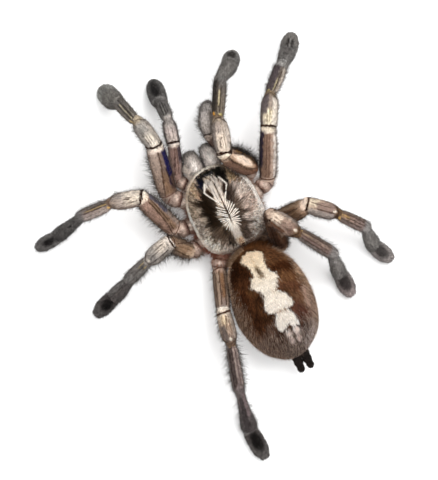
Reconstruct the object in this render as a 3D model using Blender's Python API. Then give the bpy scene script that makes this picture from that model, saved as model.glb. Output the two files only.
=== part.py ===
"""A dried tarantula, set in a walking stance on the pads of its feet.

Lengths are millimetres. The body lies along Y with its head to +Y, and the floor is z = 0.
Places are given from the midline of the body and the rear edge of the carapace.
"""

import math

import bmesh
import bpy
from mathutils import Vector

MM = 0.001
GAP = 0.3  # between pieces that meet
UP = Vector((0, 0, 1))

# The centre of the footprint, seen from the midline and the rear edge of the carapace.
FOOTPRINT_X = -6.8
FOOTPRINT_Y = 0.8

# Carapace: a low domed shield over the sternum. Its rear corners are squarer than its front.
CARAPACE_LENGTH = 24.2
CARAPACE_WIDTH = 19.8
CARAPACE_SIDES = 28
CARAPACE_RINGS = (0.16, 0.32, 0.5, 0.68, 0.84, 0.95, 1.0)
FRONT_CURVE = 2.1
REAR_CURVE = 3.4
RIM_HEIGHT = 9.7
FRONT_RIM_LIFT = 1.6
RIM_THICKNESS = 0.5
RIM_UNDERCUT = 0.985
CROWN = 3.4
HEAD_RISE = 1.7
HEAD_Y = 18.4
HEAD_SPREAD = 4.6
FOVEA_Y = 8.7
FOVEA_DEPTH = 0.9
FOVEA_WIDTH = 1.6
FOVEA_LENGTH = 1.4
TUBERCLE_Y = 21.6
TUBERCLE_WIDTH = 2.4
TUBERCLE_LENGTH = 1.9
STERNUM_Y = 11.0
STERNUM_WIDTH = 8.2
STERNUM_LENGTH = 15.8
STERNUM_TOP = 9.4
STERNUM_EDGE = 5.6
STERNUM_BOTTOM = 4.7

# Abdomen: an egg, widest at its middle, set a little to the right of the midline.
ABDOMEN_FRONT = -0.9
ABDOMEN_LENGTH = 34.0
ABDOMEN_WIDTH = 22.8
ABDOMEN_HEIGHT = 18.8
ABDOMEN_X = 0.9
ABDOMEN_Z = 12.9
ABDOMEN_FRONT_DROP = 2.6
ABDOMEN_REAR_DROP = 3.4
ABDOMEN_FRONT_CURVE = 2.2
ABDOMEN_REAR_CURVE = 1.85
ABDOMEN_SIDES = 24
ABDOMEN_RINGS = 13
PRESS_DEPTH = 0.9  # where the left hind femur lies against the abdomen
PRESS_Y = -10.0
PRESS_SPREAD = 5.0
PEDICEL_WIDTH = 2.2
PEDICEL_Z = 7.2
PEDICEL_RISE = 1.4
PEDICEL_DEPTH = 3.0
PEDICEL_SIDES = 8

# Chelicera, front to back through the rings of its base: the place along the body, the height
# of the middle, the half width and the half height. Then the fang folded under it: the place,
# the height and the radius.
CHELICERA_X = 2.55
CHELICERA_SIDES = 10
CHELICERA_ROOT = (22.1, 7.8)
CHELICERA_BASE = (
    (22.6, 7.8, 1.4, 1.2),
    (24.0, 7.8, 2.0, 2.4),
    (24.7, 8.5, 2.25, 3.6),
    (26.5, 8.8, 2.35, 4.2),
    (28.6, 8.4, 1.95, 3.8),
    (29.9, 7.6, 1.4, 2.4),
)
CHELICERA_NOSE = (30.4, 7.0)
FANG_SIDES = 6
FANG_ROOT = (29.0, 7.4)
FANG = (
    (29.0, 6.4, 1.0),
    (28.7, 4.1, 0.95),
    (27.3, 3.5, 0.8),
    (25.3, 3.3, 0.55),
    (23.8, 3.5, 0.3),
)
FANG_TIP = (23.0, 3.8)
FANG_TURN = 2.0  # length over which the fang turns from down to back

SPINNERET_LENGTH = 3.8
SPINNERET_DROP = 1.6
SPINNERET_WIDTH = 2.2
SPINNERET_SPACING = 2.5
SPINNERET_Z = 8.4
SPINNERET_SIDES = 8

LIMB_SIDES = 10
COXA_HEIGHT = 7.0

# Profiles: the distance along a segment, then the share of its full thickness there. Distances
# below 0 and above 1 are its rounded ends, counted in half thicknesses past the joint.
SHORT = ((-0.6, 0.0), (-0.2, 0.8), (0.5, 1.0), (1.2, 0.8), (1.6, 0.0))
EVEN = ((-0.6, 0.0), (-0.2, 0.72), (0.2, 0.94), (0.75, 1.0), (1.2, 0.78), (1.55, 0.0))
LONG = (
    (-0.6, 0.0),
    (-0.2, 0.76),
    (0.14, 0.98),
    (0.55, 1.0),
    (0.88, 0.93),
    (1.2, 0.72),
    (1.55, 0.0),
)
FLARED = (
    (-0.6, 0.0),
    (-0.2, 0.66),
    (0.18, 0.74),
    (0.62, 0.9),
    (0.95, 1.0),
    (1.3, 0.7),
    (1.6, 0.0),
)
PAD = (
    (-0.6, 0.0),
    (-0.25, 0.72),
    (0.1, 0.9),
    (0.5, 1.0),
    (0.9, 0.97),
    (1.55, 0.62),
    (1.95, 0.0),
)
BEADED = (
    (-0.3, 0.0),
    (0.04, 0.8),
    (0.2, 1.0),
    (0.36, 0.78),
    (0.52, 0.9),
    (0.68, 0.62),
    (0.84, 0.7),
    (1.1, 0.0),
)

PROFILES = {
    "coxa": SHORT,
    "trochanter": SHORT,
    "femur": LONG,
    "patella": EVEN,
    "tibia": EVEN,
    "metatarsus": FLARED,
    "tarsus": PAD,
}

# Each limb starts at its hip beside the sternum. A row is one segment: its heading, in degrees
# clockwise from straight ahead, how far it reaches over the floor, the height of its far end,
# and its thickness.
LIMBS = {
    "leg_1_left": (
        (-5.2, 15.1),
        (
            ("coxa", -49, 6.5, 7.4, 3.6),
            ("trochanter", -50, 3.1, 8.2, 4.4),
            ("femur", 10, 14.2, 15.4, 5.5),
            ("patella", -10, 8.8, 19.0, 4.6),
            ("tibia", -16, 7.5, 15.4, 4.1),
            ("metatarsus", -39, 2.5, 5.4, 5.6),
            ("tarsus", -15, 2.1, 2.4, 5.8),
        ),
    ),
    "leg_2_left": (
        (-5.6, 11.2),
        (
            ("coxa", -85, 6.1, 7.2, 3.6),
            ("trochanter", -86, 2.9, 7.6, 4.4),
            ("femur", -21, 12.8, 15.8, 5.4),
            ("patella", -74, 9.1, 15.0, 4.6),
            ("tibia", -86, 9.2, 9.4, 4.1),
            ("metatarsus", -101, 8.8, 2.1, 4.2),
            ("tarsus", -93, 4.6, 1.8, 4.3),
        ),
    ),
    "leg_3_left": (
        (-5.2, 7.3),
        (
            ("coxa", -105, 5.9, 7.2, 3.6),
            ("trochanter", -106, 2.8, 7.4, 4.3),
            ("femur", -41, 6.4, 18.6, 4.8),
            ("patella", -105, 7.7, 16.6, 4.8),
            ("tibia", -107, 7.4, 9.6, 4.1),
            ("metatarsus", -111, 6.9, 2.3, 4.6),
            ("tarsus", -110, 4.9, 2.0, 4.9),
        ),
    ),
    "leg_4_left": (
        (-4.0, 3.7),
        (
            ("coxa", -143, 5.0, 7.0, 3.6),
            ("trochanter", -142, 2.3, 7.0, 4.2),
            ("femur", -160, 12.4, 13.6, 4.2),
            ("patella", -168, 9.0, 14.2, 4.3),
            ("tibia", -164, 12.8, 10.8, 3.9),
            ("metatarsus", -169, 12.5, 2.4, 4.4),
            ("tarsus", -184, 6.5, 2.1, 5.0),
        ),
    ),
    "leg_1_right": (
        (5.2, 15.1),
        (
            ("coxa", 61, 4.9, 7.4, 3.6),
            ("trochanter", 62, 2.4, 8.4, 3.7),
            ("femur", -38, 8.4, 20.2, 4.9),
            ("patella", 15, 9.9, 20.0, 4.7),
            ("tibia", 29, 10.6, 15.4, 4.2),
            ("metatarsus", 58, 5.7, 5.4, 4.6),
            ("tarsus", 40, 2.2, 2.2, 5.0),
        ),
    ),
    "leg_2_right": (
        (5.6, 11.2),
        (
            ("coxa", 75, 5.9, 7.0, 3.6),
            ("trochanter", 76, 2.8, 7.0, 4.0),
            ("femur", 26, 14.6, 14.4, 4.8),
            ("patella", 29, 9.4, 14.0, 4.6),
            ("tibia", 48, 8.9, 9.2, 4.2),
            ("metatarsus", 47, 4.6, 2.5, 4.7),
            ("tarsus", 37, 2.8, 2.2, 5.2),
        ),
    ),
    "leg_3_right": (
        (5.2, 7.3),
        (
            ("coxa", 135, 4.8, 7.0, 3.4),
            ("trochanter", 135, 2.3, 7.2, 3.7),
            ("femur", 88, 10.2, 14.4, 4.8),
            ("patella", 131, 9.1, 14.0, 4.6),
            ("tibia", 140, 8.7, 9.4, 4.2),
            ("metatarsus", 177, 6.0, 2.3, 4.3),
            ("tarsus", 153, 3.8, 2.0, 4.9),
        ),
    ),
    "leg_4_right": (
        (4.0, 3.7),
        (
            ("coxa", 144, 6.7, 6.4, 3.4),
            ("trochanter", 144, 3.1, 6.8, 4.0),
            ("femur", 5, 8.9, 19.4, 4.9),
            ("patella", 149, 8.9, 19.0, 4.8),
            ("tibia", 147, 11.5, 13.0, 4.2),
            ("metatarsus", 181, 6.3, 2.4, 4.2),
            ("tarsus", 178, 4.3, 2.1, 5.0),
        ),
    ),
    "palp_left": (
        (-3.4, 18.4),
        (
            ("coxa", -40, 5.2, 7.0, 3.2),
            ("trochanter", -39, 2.5, 7.0, 3.4),
            ("femur", 19, 10.5, 9.8, 3.7),
            ("patella", 13, 6.8, 10.0, 3.9),
            ("tibia", 3, 5.3, 7.2, 3.6),
            ("tarsus", 6, 4.7, 2.2, 5.2),
        ),
    ),
    "palp_right": (
        (3.4, 18.4),
        (
            ("coxa", 53, 4.3, 7.4, 3.2),
            ("trochanter", 54, 2.1, 7.8, 3.2),
            ("femur", -21, 10.5, 11.4, 3.5),
            ("patella", 17, 5.7, 11.6, 4.3),
            ("tibia", 36, 1.8, 8.6, 4.1),
            ("tarsus", 25, 1.2, 2.4, 4.4),
        ),
    ),
}


def clear_scene():
    for thing in list(bpy.data.objects):
        bpy.data.objects.remove(thing, do_unlink=True)


def finish_of(name, colour, roughness):
    finish = bpy.data.materials.new(name)
    finish.use_nodes = True
    shader = finish.node_tree.nodes["Principled BSDF"]
    shader.inputs["Base Color"].default_value = (*colour, 1.0)
    shader.inputs["Roughness"].default_value = roughness
    return finish


def placed(point):
    """A point of the tarantula, set over the middle of its footprint. The pads are flat below."""
    return Vector((point[0] - FOOTPRINT_X, point[1] - FOOTPRINT_Y, max(point[2], 0.0))) * MM


def ellipse(centre, across, up, sides):
    """Points round a centre. A side of the polygon lies flat at the bottom."""
    points = []
    for index in range(sides):
        turn = 2 * math.pi * (index + 0.5) / sides - math.pi / 2
        points.append(centre + across * math.cos(turn) + up * math.sin(turn))
    return points


def shell(first_pole, rings, last_pole):
    """A closed skin through rings that hold the same number of points, with a pole at each end."""
    skin = bmesh.new()
    rows = [[skin.verts.new(placed(point)) for point in ring] for ring in rings]
    for row, following in zip(rows, rows[1:]):
        for index in range(len(row)):
            after = (index + 1) % len(row)
            skin.faces.new((row[index], row[after], following[after], following[index]))
    for row, pole in ((rows[0], first_pole), (rows[-1], last_pole)):
        tip = skin.verts.new(placed(pole))
        for index in range(len(row)):
            skin.faces.new((row[index], row[(index + 1) % len(row)], tip))
    bmesh.ops.recalc_face_normals(skin, faces=skin.faces)
    mesh = bpy.data.meshes.new("shell")
    skin.to_mesh(mesh)
    skin.free()
    mesh.shade_smooth()
    return mesh


def solid(name, shells, finish):
    """One object: its first shell, with each of the others fused to it."""
    body = bpy.data.objects.new(name, shells[0])
    body.data.materials.append(finish)
    bpy.context.scene.collection.objects.link(body)
    if len(shells) == 1:
        return
    added = bpy.data.collections.new(name + "_added")
    bpy.context.scene.collection.children.link(added)
    for index, mesh in enumerate(shells[1:]):
        helper = bpy.data.objects.new(f"{name}_added_{index}", mesh)
        helper.hide_render = True
        helper.display_type = "WIRE"
        added.objects.link(helper)
    fuse = body.modifiers.new("fuse", "BOOLEAN")
    fuse.operation = "UNION"
    fuse.solver = "EXACT"
    fuse.operand_type = "COLLECTION"
    fuse.collection = added


def spindle(start, end, thickness, profile, sides):
    """A shell along a straight segment, thick or thin along it as its profile says."""
    length = (end - start).length
    along = (end - start).normalized()
    across = along.cross(UP).normalized()
    up = across.cross(along)
    half = thickness / 2
    points = []
    for place, share in profile:
        if place < 0:
            distance = place * half
        elif place > 1:
            distance = length + (place - 1) * half
        else:
            distance = place * length
        points.append((start + along * distance, share * half))
    rings = [ellipse(centre, across * radius, up * radius, sides) for centre, radius in points[1:-1]]
    return shell(points[0][0], rings, points[-1][0])


def joints_of(hip, segments):
    """The ends of a limb's segments, from its hip to its tip."""
    ends = [Vector((hip[0], hip[1], COXA_HEIGHT))]
    for _, heading, reach, height, _ in segments:
        turn = math.radians(heading)
        last = ends[-1]
        ends.append(Vector((last.x + reach * math.sin(turn), last.y + reach * math.cos(turn), height)))
    return ends


def make_limb(name, hip, segments, finish):
    ends = joints_of(hip, segments)
    shells = []
    for (part, _, _, _, thickness), start, end in zip(segments, ends, ends[1:]):
        shells.append(spindle(start, end, thickness, PROFILES[part], LIMB_SIDES))
    solid(name, shells, finish)


def superellipse(turn, half_width, half_length, curve):
    """Distance from the centre to an outline, where turn is 0 straight ahead."""
    side = abs(math.sin(turn)) / half_width
    ahead = abs(math.cos(turn)) / half_length
    return (side**curve + ahead**curve) ** (-1 / curve)


def turns_around():
    return [2 * math.pi * index / CARAPACE_SIDES for index in range(CARAPACE_SIDES)]


def rim_height(y):
    half = CARAPACE_LENGTH / 2
    ahead = max(0.0, y - half) / half
    return RIM_HEIGHT + FRONT_RIM_LIFT * ahead**2


def bump(x, y, middle_y, width, length):
    return math.exp(-((x / width) ** 2) - ((y - middle_y) / length) ** 2)


def carapace_top(x, y, share):
    """Height of the shield, where share is how far the point is from its middle to its rim."""
    height = rim_height(y) + CROWN * (1 - share**2.2) ** 0.8
    height += HEAD_RISE * bump(x, y, HEAD_Y, HEAD_SPREAD, HEAD_SPREAD) * (1 - share**4)
    return height - FOVEA_DEPTH * bump(x, y, FOVEA_Y, FOVEA_WIDTH, FOVEA_LENGTH)


def carapace_ring(share, height_at):
    middle = CARAPACE_LENGTH / 2
    ring = []
    for turn in turns_around():
        curve = FRONT_CURVE if math.cos(turn) > 0 else REAR_CURVE
        reach = superellipse(turn, CARAPACE_WIDTH / 2, CARAPACE_LENGTH / 2, curve) * share
        x = reach * math.sin(turn)
        y = middle + reach * math.cos(turn)
        ring.append(Vector((x, y, height_at(x, y))))
    return ring


def sternum_ring(share, height):
    ring = []
    for turn in turns_around():
        reach = superellipse(turn, STERNUM_WIDTH / 2, STERNUM_LENGTH / 2, 2) * share
        ring.append(Vector((reach * math.sin(turn), STERNUM_Y + reach * math.cos(turn), height)))
    return ring


def eye_tubercle():
    """The low knob near the front of the shield that carries the eyes."""
    top = carapace_top(0, TUBERCLE_Y, 0.75)
    rings = []
    for lift, share in ((-0.6, 1.0), (0.1, 1.0), (0.55, 0.6)):
        across = Vector((TUBERCLE_WIDTH / 2 * share, 0, 0))
        ahead = Vector((0, TUBERCLE_LENGTH / 2 * share, 0))
        rings.append(ellipse(Vector((0, TUBERCLE_Y, top + lift)), across, ahead, 8))
    return shell(Vector((0, TUBERCLE_Y, top - 0.9)), rings, Vector((0, TUBERCLE_Y, top + 0.7)))


def make_carapace(finish):
    middle = CARAPACE_LENGTH / 2
    rings = []
    for share in CARAPACE_RINGS:
        rings.append(carapace_ring(share, lambda x, y: carapace_top(x, y, share)))
    rings.append(carapace_ring(RIM_UNDERCUT, lambda x, y: rim_height(y) - RIM_THICKNESS))
    rings.append(sternum_ring(1.0, STERNUM_TOP))
    rings.append(sternum_ring(1.0, STERNUM_EDGE))
    rings.append(sternum_ring(0.7, STERNUM_BOTTOM))
    crest = Vector((0, middle, carapace_top(0, middle, 0)))
    shield = shell(crest, rings, Vector((0, STERNUM_Y, STERNUM_BOTTOM)))
    solid("carapace", [shield, eye_tubercle()], finish)


def abdomen_section(y):
    """Middle, half width and half height of the abdomen at a place along the body."""
    offset = (y - ABDOMEN_FRONT) / (ABDOMEN_LENGTH / 2) + 1
    curve = ABDOMEN_FRONT_CURVE if offset > 0 else ABDOMEN_REAR_CURVE
    drop = ABDOMEN_FRONT_DROP if offset > 0 else ABDOMEN_REAR_DROP
    swell = max(0.0, 1 - abs(offset) ** curve) ** (1 / curve)
    middle = Vector((ABDOMEN_X, y, ABDOMEN_Z - drop * offset**2))
    return middle, swell * ABDOMEN_WIDTH / 2, swell * ABDOMEN_HEIGHT / 2


def abdomen_ring(y):
    middle, half_width, half_height = abdomen_section(y)
    ring = ellipse(middle, Vector((half_width, 0, 0)), UP * half_height, ABDOMEN_SIDES)
    dent = PRESS_DEPTH * math.exp(-(((y - PRESS_Y) / PRESS_SPREAD) ** 2))
    for point in ring:
        leftness = max(0.0, middle.x - point.x) / half_width
        point.x += dent * leftness**2
    return ring


def make_abdomen(finish):
    """The egg, and the thin pedicel that joins it to the body ahead."""
    rings = []
    for index in range(1, ABDOMEN_RINGS + 1):
        turn = math.pi * index / (ABDOMEN_RINGS + 1)
        rings.append(abdomen_ring(ABDOMEN_FRONT - ABDOMEN_LENGTH * (1 - math.cos(turn)) / 2))
    front = abdomen_section(ABDOMEN_FRONT)[0]
    rear = abdomen_section(ABDOMEN_FRONT - ABDOMEN_LENGTH)[0]
    egg = shell(front, rings, rear)
    stalk_root = Vector((ABDOMEN_X, ABDOMEN_FRONT - PEDICEL_DEPTH, PEDICEL_Z + PEDICEL_RISE))
    sternum_rear = STERNUM_Y - STERNUM_LENGTH / 2
    stalk_end = Vector((0, sternum_rear - GAP - PEDICEL_WIDTH * 0.35, PEDICEL_Z))
    stalk = spindle(stalk_root, stalk_end, PEDICEL_WIDTH, SHORT, PEDICEL_SIDES)
    solid("abdomen", [egg, stalk], finish)


def make_chelicera(name, side, finish):
    """The swollen base, with its fang folded back beneath it."""
    x = side * CHELICERA_X
    base_rings = []
    for y, z, half_width, half_height in CHELICERA_BASE:
        across = Vector((half_width, 0, 0))
        base_rings.append(ellipse(Vector((x, y, z)), across, UP * half_height, CHELICERA_SIDES))
    base = shell(Vector((x, *CHELICERA_ROOT)), base_rings, Vector((x, *CHELICERA_NOSE)))
    fang_rings = []
    for y, z, radius in FANG:
        lean = math.pi / 2 * min(1.0, (FANG[0][0] - y) / FANG_TURN)
        up = Vector((0, math.cos(lean), math.sin(lean)))
        across = Vector((radius, 0, 0))
        fang_rings.append(ellipse(Vector((x, y, z)), across, up * radius, FANG_SIDES))
    fang = shell(Vector((x, *FANG_ROOT)), fang_rings, Vector((x, *FANG_TIP)))
    solid(name, [base, fang], finish)


def make_spinneret(name, side, finish):
    rear = ABDOMEN_FRONT - ABDOMEN_LENGTH
    start = Vector((ABDOMEN_X + 0.4 + side * SPINNERET_SPACING / 2, rear - 0.35, SPINNERET_Z))
    end = start + Vector((side * 0.2, -SPINNERET_LENGTH, -SPINNERET_DROP))
    solid(name, [spindle(start, end, SPINNERET_WIDTH, BEADED, SPINNERET_SIDES)], finish)


def main():
    clear_scene()
    make_carapace(finish_of("carapace", (0.16, 0.11, 0.075), 0.7))
    make_abdomen(finish_of("abdomen", (0.10, 0.055, 0.03), 0.9))
    for end, side in (("left", -1), ("right", 1)):
        chelicera = "chelicera_" + end
        make_chelicera(chelicera, side, finish_of(chelicera, (0.32, 0.27, 0.24), 0.6))
        spinneret = "spinneret_" + end
        make_spinneret(spinneret, side, finish_of(spinneret, (0.03, 0.025, 0.022), 0.8))
    for name, (hip, segments) in LIMBS.items():
        make_limb(name, hip, segments, finish_of(name, (0.24, 0.19, 0.16), 0.75))


main()
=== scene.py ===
"""The looks of a dried tarantula: felted hair over fine skins, on a white floor under soft light.

Lengths are millimetres. Places are given from the midline of the body and the rear edge of the
carapace, as the solids' are, and placed() moves them into the frame. x runs to the right and y to
the head. Long tables are text, one row to a line, and rows() reads them.
"""

import math

import bpy
import numpy as np
from mathutils import Matrix, Vector


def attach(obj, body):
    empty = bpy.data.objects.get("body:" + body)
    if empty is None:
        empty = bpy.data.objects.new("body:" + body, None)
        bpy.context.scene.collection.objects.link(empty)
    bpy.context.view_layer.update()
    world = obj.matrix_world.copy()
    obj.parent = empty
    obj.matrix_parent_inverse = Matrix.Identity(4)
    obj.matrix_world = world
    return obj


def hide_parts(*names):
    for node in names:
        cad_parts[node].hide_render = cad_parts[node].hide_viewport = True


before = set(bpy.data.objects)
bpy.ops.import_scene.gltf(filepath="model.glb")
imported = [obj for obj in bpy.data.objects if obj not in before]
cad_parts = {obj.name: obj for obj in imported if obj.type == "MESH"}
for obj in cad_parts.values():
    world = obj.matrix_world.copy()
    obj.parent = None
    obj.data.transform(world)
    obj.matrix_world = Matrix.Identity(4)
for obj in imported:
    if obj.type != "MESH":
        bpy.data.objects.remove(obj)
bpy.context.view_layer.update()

MM = 0.001
UP = np.array((0.0, 0.0, 1.0))
FOOTPRINT = np.array((-6.8, 0.8, 0.0))


# ---------------------------------------------------------------- numbers and colours


def srgb(red, green, blue):
    """A colour given as it looks, 0 to 255, as linear light."""
    parts = np.array((red, green, blue)) / 255
    return np.where(parts < 0.04045, parts / 12.92, ((parts + 0.055) / 1.055) ** 2.4)


def words(text):
    """The words of a row: names, numbers, and colours such as #c8b4a0 as linear light."""
    found = []
    for word in text.split():
        if word.startswith("#"):
            found.append(srgb(*bytes.fromhex(word[1:])))
        else:
            found.append(word if word[0].isalpha() else float(word))
    return found


def rows(text):
    """The rows of a table, each as its words."""
    return [words(row) for row in text.splitlines() if row]


def named_rows(text):
    """The numbers of each row, by the names that it starts with."""
    table = {}
    for row in rows(text):
        names = [word for word in row if isinstance(word, str)]
        table[" ".join(names)] = row[len(names):]
    return table


def smooth(low, high, x):
    """0 below low, 1 above high, and a soft step between them."""
    t = np.clip((x - low) / (high - low), 0, 1)
    return t * t * (3 - 2 * t)


def blend(under, over, amount):
    return under + (over - under) * np.asarray(amount)[..., None]


def plain(colour, places):
    """One colour at every place."""
    return np.repeat(colour[None], len(places), 0)


def ramp(t, stops):
    """The colour at t on a gradient, given as a row of places with a colour after each."""
    places, colours = stops[::2], np.array(stops[1::2])
    return np.stack([np.interp(t, places, colours[:, k]) for k in range(3)], -1)


def curve_through(places, values, x):
    """A smooth curve through the values, which doesn't overshoot them."""
    places, values = np.asarray(places, float), np.asarray(values, float)
    slope = np.diff(values) / np.diff(places)
    both = slope[:-1] * slope[1:]
    inner = np.where(both > 0, 2 * both / np.where(both > 0, slope[:-1] + slope[1:], 1), 0.0)
    tangent = np.concatenate([slope[:1], inner, slope[-1:]])
    x = np.clip(x, places[0], places[-1])
    k = np.clip(np.searchsorted(places, x) - 1, 0, len(places) - 2)
    width = places[k + 1] - places[k]
    t = (x - places[k]) / width
    low = values[k] * (1 + 2 * t) * (1 - t) ** 2 + tangent[k] * width * t * (1 - t) ** 2
    high = values[k + 1] * t * t * (3 - 2 * t) + tangent[k + 1] * width * t * t * (t - 1)
    return low + high


def ripple(x, y, size, seed):
    """Smooth wandering numbers between about -1 and 1, for uneven edges and patches."""
    rng = np.random.default_rng(seed)
    total = np.zeros(np.shape(x))
    for _ in range(7):
        angle, shift = rng.uniform(0, 2 * math.pi, 2)
        pace = 2 * math.pi / (size * rng.uniform(0.6, 1.7))
        total = total + np.sin((x * math.cos(angle) + y * math.sin(angle)) * pace + shift)
    return total / 3.2


def unit(vectors):
    return vectors / np.maximum(np.linalg.norm(vectors, axis=-1, keepdims=True), 1e-9)


def placed(points):
    """Points of the tarantula in the frame, in metres, with nothing below the floor."""
    moved = np.asarray(points) - FOOTPRINT
    moved[..., 2] = np.maximum(moved[..., 2], 0.0)
    return moved * MM


# ---------------------------------------------------------------- meshes


class Growth:
    """A mesh in the making: points with a colour each, and triangles."""

    def __init__(self):
        self.points, self.colours, self.faces, self.count = [], [], [], 0

    def add(self, points, colours, faces):
        self.points.append(np.reshape(points, (-1, 3)))
        self.colours.append(np.broadcast_to(colours, np.shape(points)).reshape(-1, 3))
        self.faces.append(np.reshape(faces, (-1, 3)) + self.count)
        self.count += len(self.points[-1])

    def skin(self, points, colours):
        """Rings of points, closed around and drawn together at both ends."""
        rings, sides = points.shape[:2]
        index = np.arange(rings * sides).reshape(rings, sides)
        after = np.roll(index, -1, axis=1)
        low, high, low_after, high_after = index[:-1], index[1:], after[:-1], after[1:]
        walls = [np.stack([low, low_after, high_after], -1), np.stack([low, high_after, high], -1)]
        poles = np.stack([points[0].mean(0), points[-1].mean(0)])
        pole_colours = np.stack([colours[0].mean(0), colours[-1].mean(0)])
        caps = [
            np.stack([after[0], index[0], np.full(sides, rings * sides)], -1),
            np.stack([index[-1], after[-1], np.full(sides, rings * sides + 1)], -1),
        ]
        faces = np.concatenate([part.reshape(-1, 3) for part in walls + caps])
        every = np.concatenate([points.reshape(-1, 3), poles])
        self.add(every, np.concatenate([colours.reshape(-1, 3), pole_colours]), faces)

    def piece(self, name, node, material):
        points = placed(np.concatenate(self.points)).astype(np.float32)
        colours = np.clip(np.concatenate(self.colours), 0, 1)
        faces = np.concatenate(self.faces).astype(np.int32)
        mesh = bpy.data.meshes.new(name)
        mesh.vertices.add(len(points))
        mesh.vertices.foreach_set("co", points.ravel())
        mesh.loops.add(faces.size)
        mesh.loops.foreach_set("vertex_index", faces.ravel())
        mesh.polygons.add(len(faces))
        mesh.polygons.foreach_set("loop_start", np.arange(0, faces.size, 3, dtype=np.int32))
        mesh.update(calc_edges=True)
        mesh.shade_smooth()
        coat = mesh.attributes.new("coat", "FLOAT_COLOR", "POINT")
        opaque = np.concatenate([colours, np.ones((len(colours), 1))], 1)
        coat.data.foreach_set("color", opaque.astype(np.float32).ravel())
        bake_map(mesh, colours, faces)
        mesh.materials.append(material)
        body = bpy.data.objects.new(name, mesh)
        bpy.context.scene.collection.objects.link(body)
        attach(body, "root")
        if node:
            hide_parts(node)
        print(name, len(faces), "triangles")


def bake_map(mesh, colours, faces):
    """A map on which a point lies by its colour: how light it is, and how warm."""
    lightness = np.sqrt(colours.mean(1))
    warmth = 0.5 + 0.5 * (colours[:, 0] - colours[:, 2]) / np.maximum(colours.sum(1), 1e-4)
    layer = mesh.uv_layers.new(name="OFBake")
    across = np.stack([lightness, warmth], 1)[faces.ravel()]
    layer.uv.foreach_set("vector", across.astype(np.float32).ravel())


# ---------------------------------------------------------------- hair

# The three corners round a hair, as angles, and how far a root lies under the surface.
HAIR_CORNERS = (0.5, 2.594, 4.689)
ROOT_DEPTH = 0.06


class Surface:
    """A surface given by place(a, b), with the directions that a and b run in at any point.
    turned is -1 where a and b run the other way round its outer side."""

    def __init__(self, place, low, high, inside=None, turned=1):
        self.place, self.low, self.high, self.inside, self.turned = place, low, high, inside, turned

    def at(self, a, b):
        """Points, unit directions along a and b, the outward normal, and mm for a step in each."""
        step_a = (self.high[0] - self.low[0]) * 1e-3
        step_b = (self.high[1] - self.low[1]) * 1e-3
        along = (self.place(a + step_a, b) - self.place(a - step_a, b)) / (2 * step_a)
        around = (self.place(a, b + step_b) - self.place(a, b - step_b)) / (2 * step_b)
        sizes = np.linalg.norm(along, axis=-1), np.linalg.norm(around, axis=-1)
        along, around = unit(along), unit(around)
        normal = unit(np.cross(around, along)) * self.turned
        return self.place(a, b), along, around, normal, sizes

    def scatter(self, rng, count, weight=None):
        """Places spread evenly over the surface, or as thick as weight(a, b) says."""
        found_a, found_b, total = [], [], 0
        while total < count:
            a = rng.uniform(self.low[0], self.high[0], count)
            b = rng.uniform(self.low[1], self.high[1], count)
            sizes = self.at(a, b)[4]
            area = sizes[0] * sizes[1]
            chance = np.minimum(area / np.percentile(area, 98), 1)
            if weight is not None:
                chance = chance * weight(a, b)
            if self.inside is not None:
                chance = chance * self.inside(a, b)
            keep = rng.random(count) < chance
            found_a.append(a[keep])
            found_b.append(b[keep])
            total += int(keep.sum())
        return np.concatenate(found_a)[:count], np.concatenate(found_b)[:count]


def scramble(i, j, seed):
    """A number between 0 and 1 for each cell of a grid, with no pattern to it."""
    value = np.sin(i * 127.1 + j * 311.7 + seed * 74.7) * 43758.5453
    return value - np.floor(value)


def tufts(u, v, seed):
    """A number from -1 to 1 for each tuft of hair. u runs along the tufts and v across them."""
    row = np.floor(v)
    return 2 * scramble(np.floor(u + scramble(row, 0.0, seed)), row, seed + 1) - 1


def tones(rng, count, shade, dark=0.0, light=0.0, gleam=1.45):
    """How light each hair is beside the coat around it: a random tone, with a share of dark hairs as
    painted shadow among the hairs and of light ones, by gleam, as painted glints.
    """
    tone = rng.uniform(1 - shade, 1 + shade, count)
    pick = rng.random(count)
    # Dark hairs stand in for painted shadow among the hairs, light ones for painted glints.
    tone = np.where(pick < dark, tone * 0.4, tone)
    return np.where(pick > 1 - light, tone * gleam, tone)


def felt(growth, surface, roots, heading, length, lift, width, paint, tone, height=0.0):
    """Short three-sided hairs that lie along a surface. Each takes the colour of the coat under its middle,
    a little darker at the root as painted shade deep in the coat."""
    a, b = roots
    count = len(a)
    base, along, around, normal, (size_a, size_b) = surface.at(a, b)
    base = base + normal * height
    ahead = np.cos(heading)[:, None] * along + np.sin(heading)[:, None] * around
    side = np.cross(normal, ahead) * (width / 2)[:, None]
    tip_a = a + length * np.cos(heading) / np.maximum(size_a, 1e-6)
    tip_b = b + length * np.sin(heading) / np.maximum(size_b, 1e-6)
    end, _, _, end_normal, _ = surface.at(tip_a, tip_b)
    tip = end + end_normal * lift[:, None]
    sunk = base - normal * ROOT_DEPTH
    ridge = base + normal * (width * 0.3)[:, None]
    points = np.stack([sunk - side, sunk + side, ridge, tip], 1)
    colour = paint((a + tip_a) / 2, (b + tip_b) / 2, (base + end) / 2) * tone[:, None]
    # Root corners are darker: painted shade deep in the coat.
    colours = np.stack([colour * 0.8, colour * 0.8, colour, colour * 1.06], 1)
    start = np.arange(count)[:, None] * 4
    faces = np.concatenate([start + (0, 2, 3), start + (2, 1, 3), start + (1, 0, 3)], 1)
    growth.add(points, colours, faces)


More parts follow.
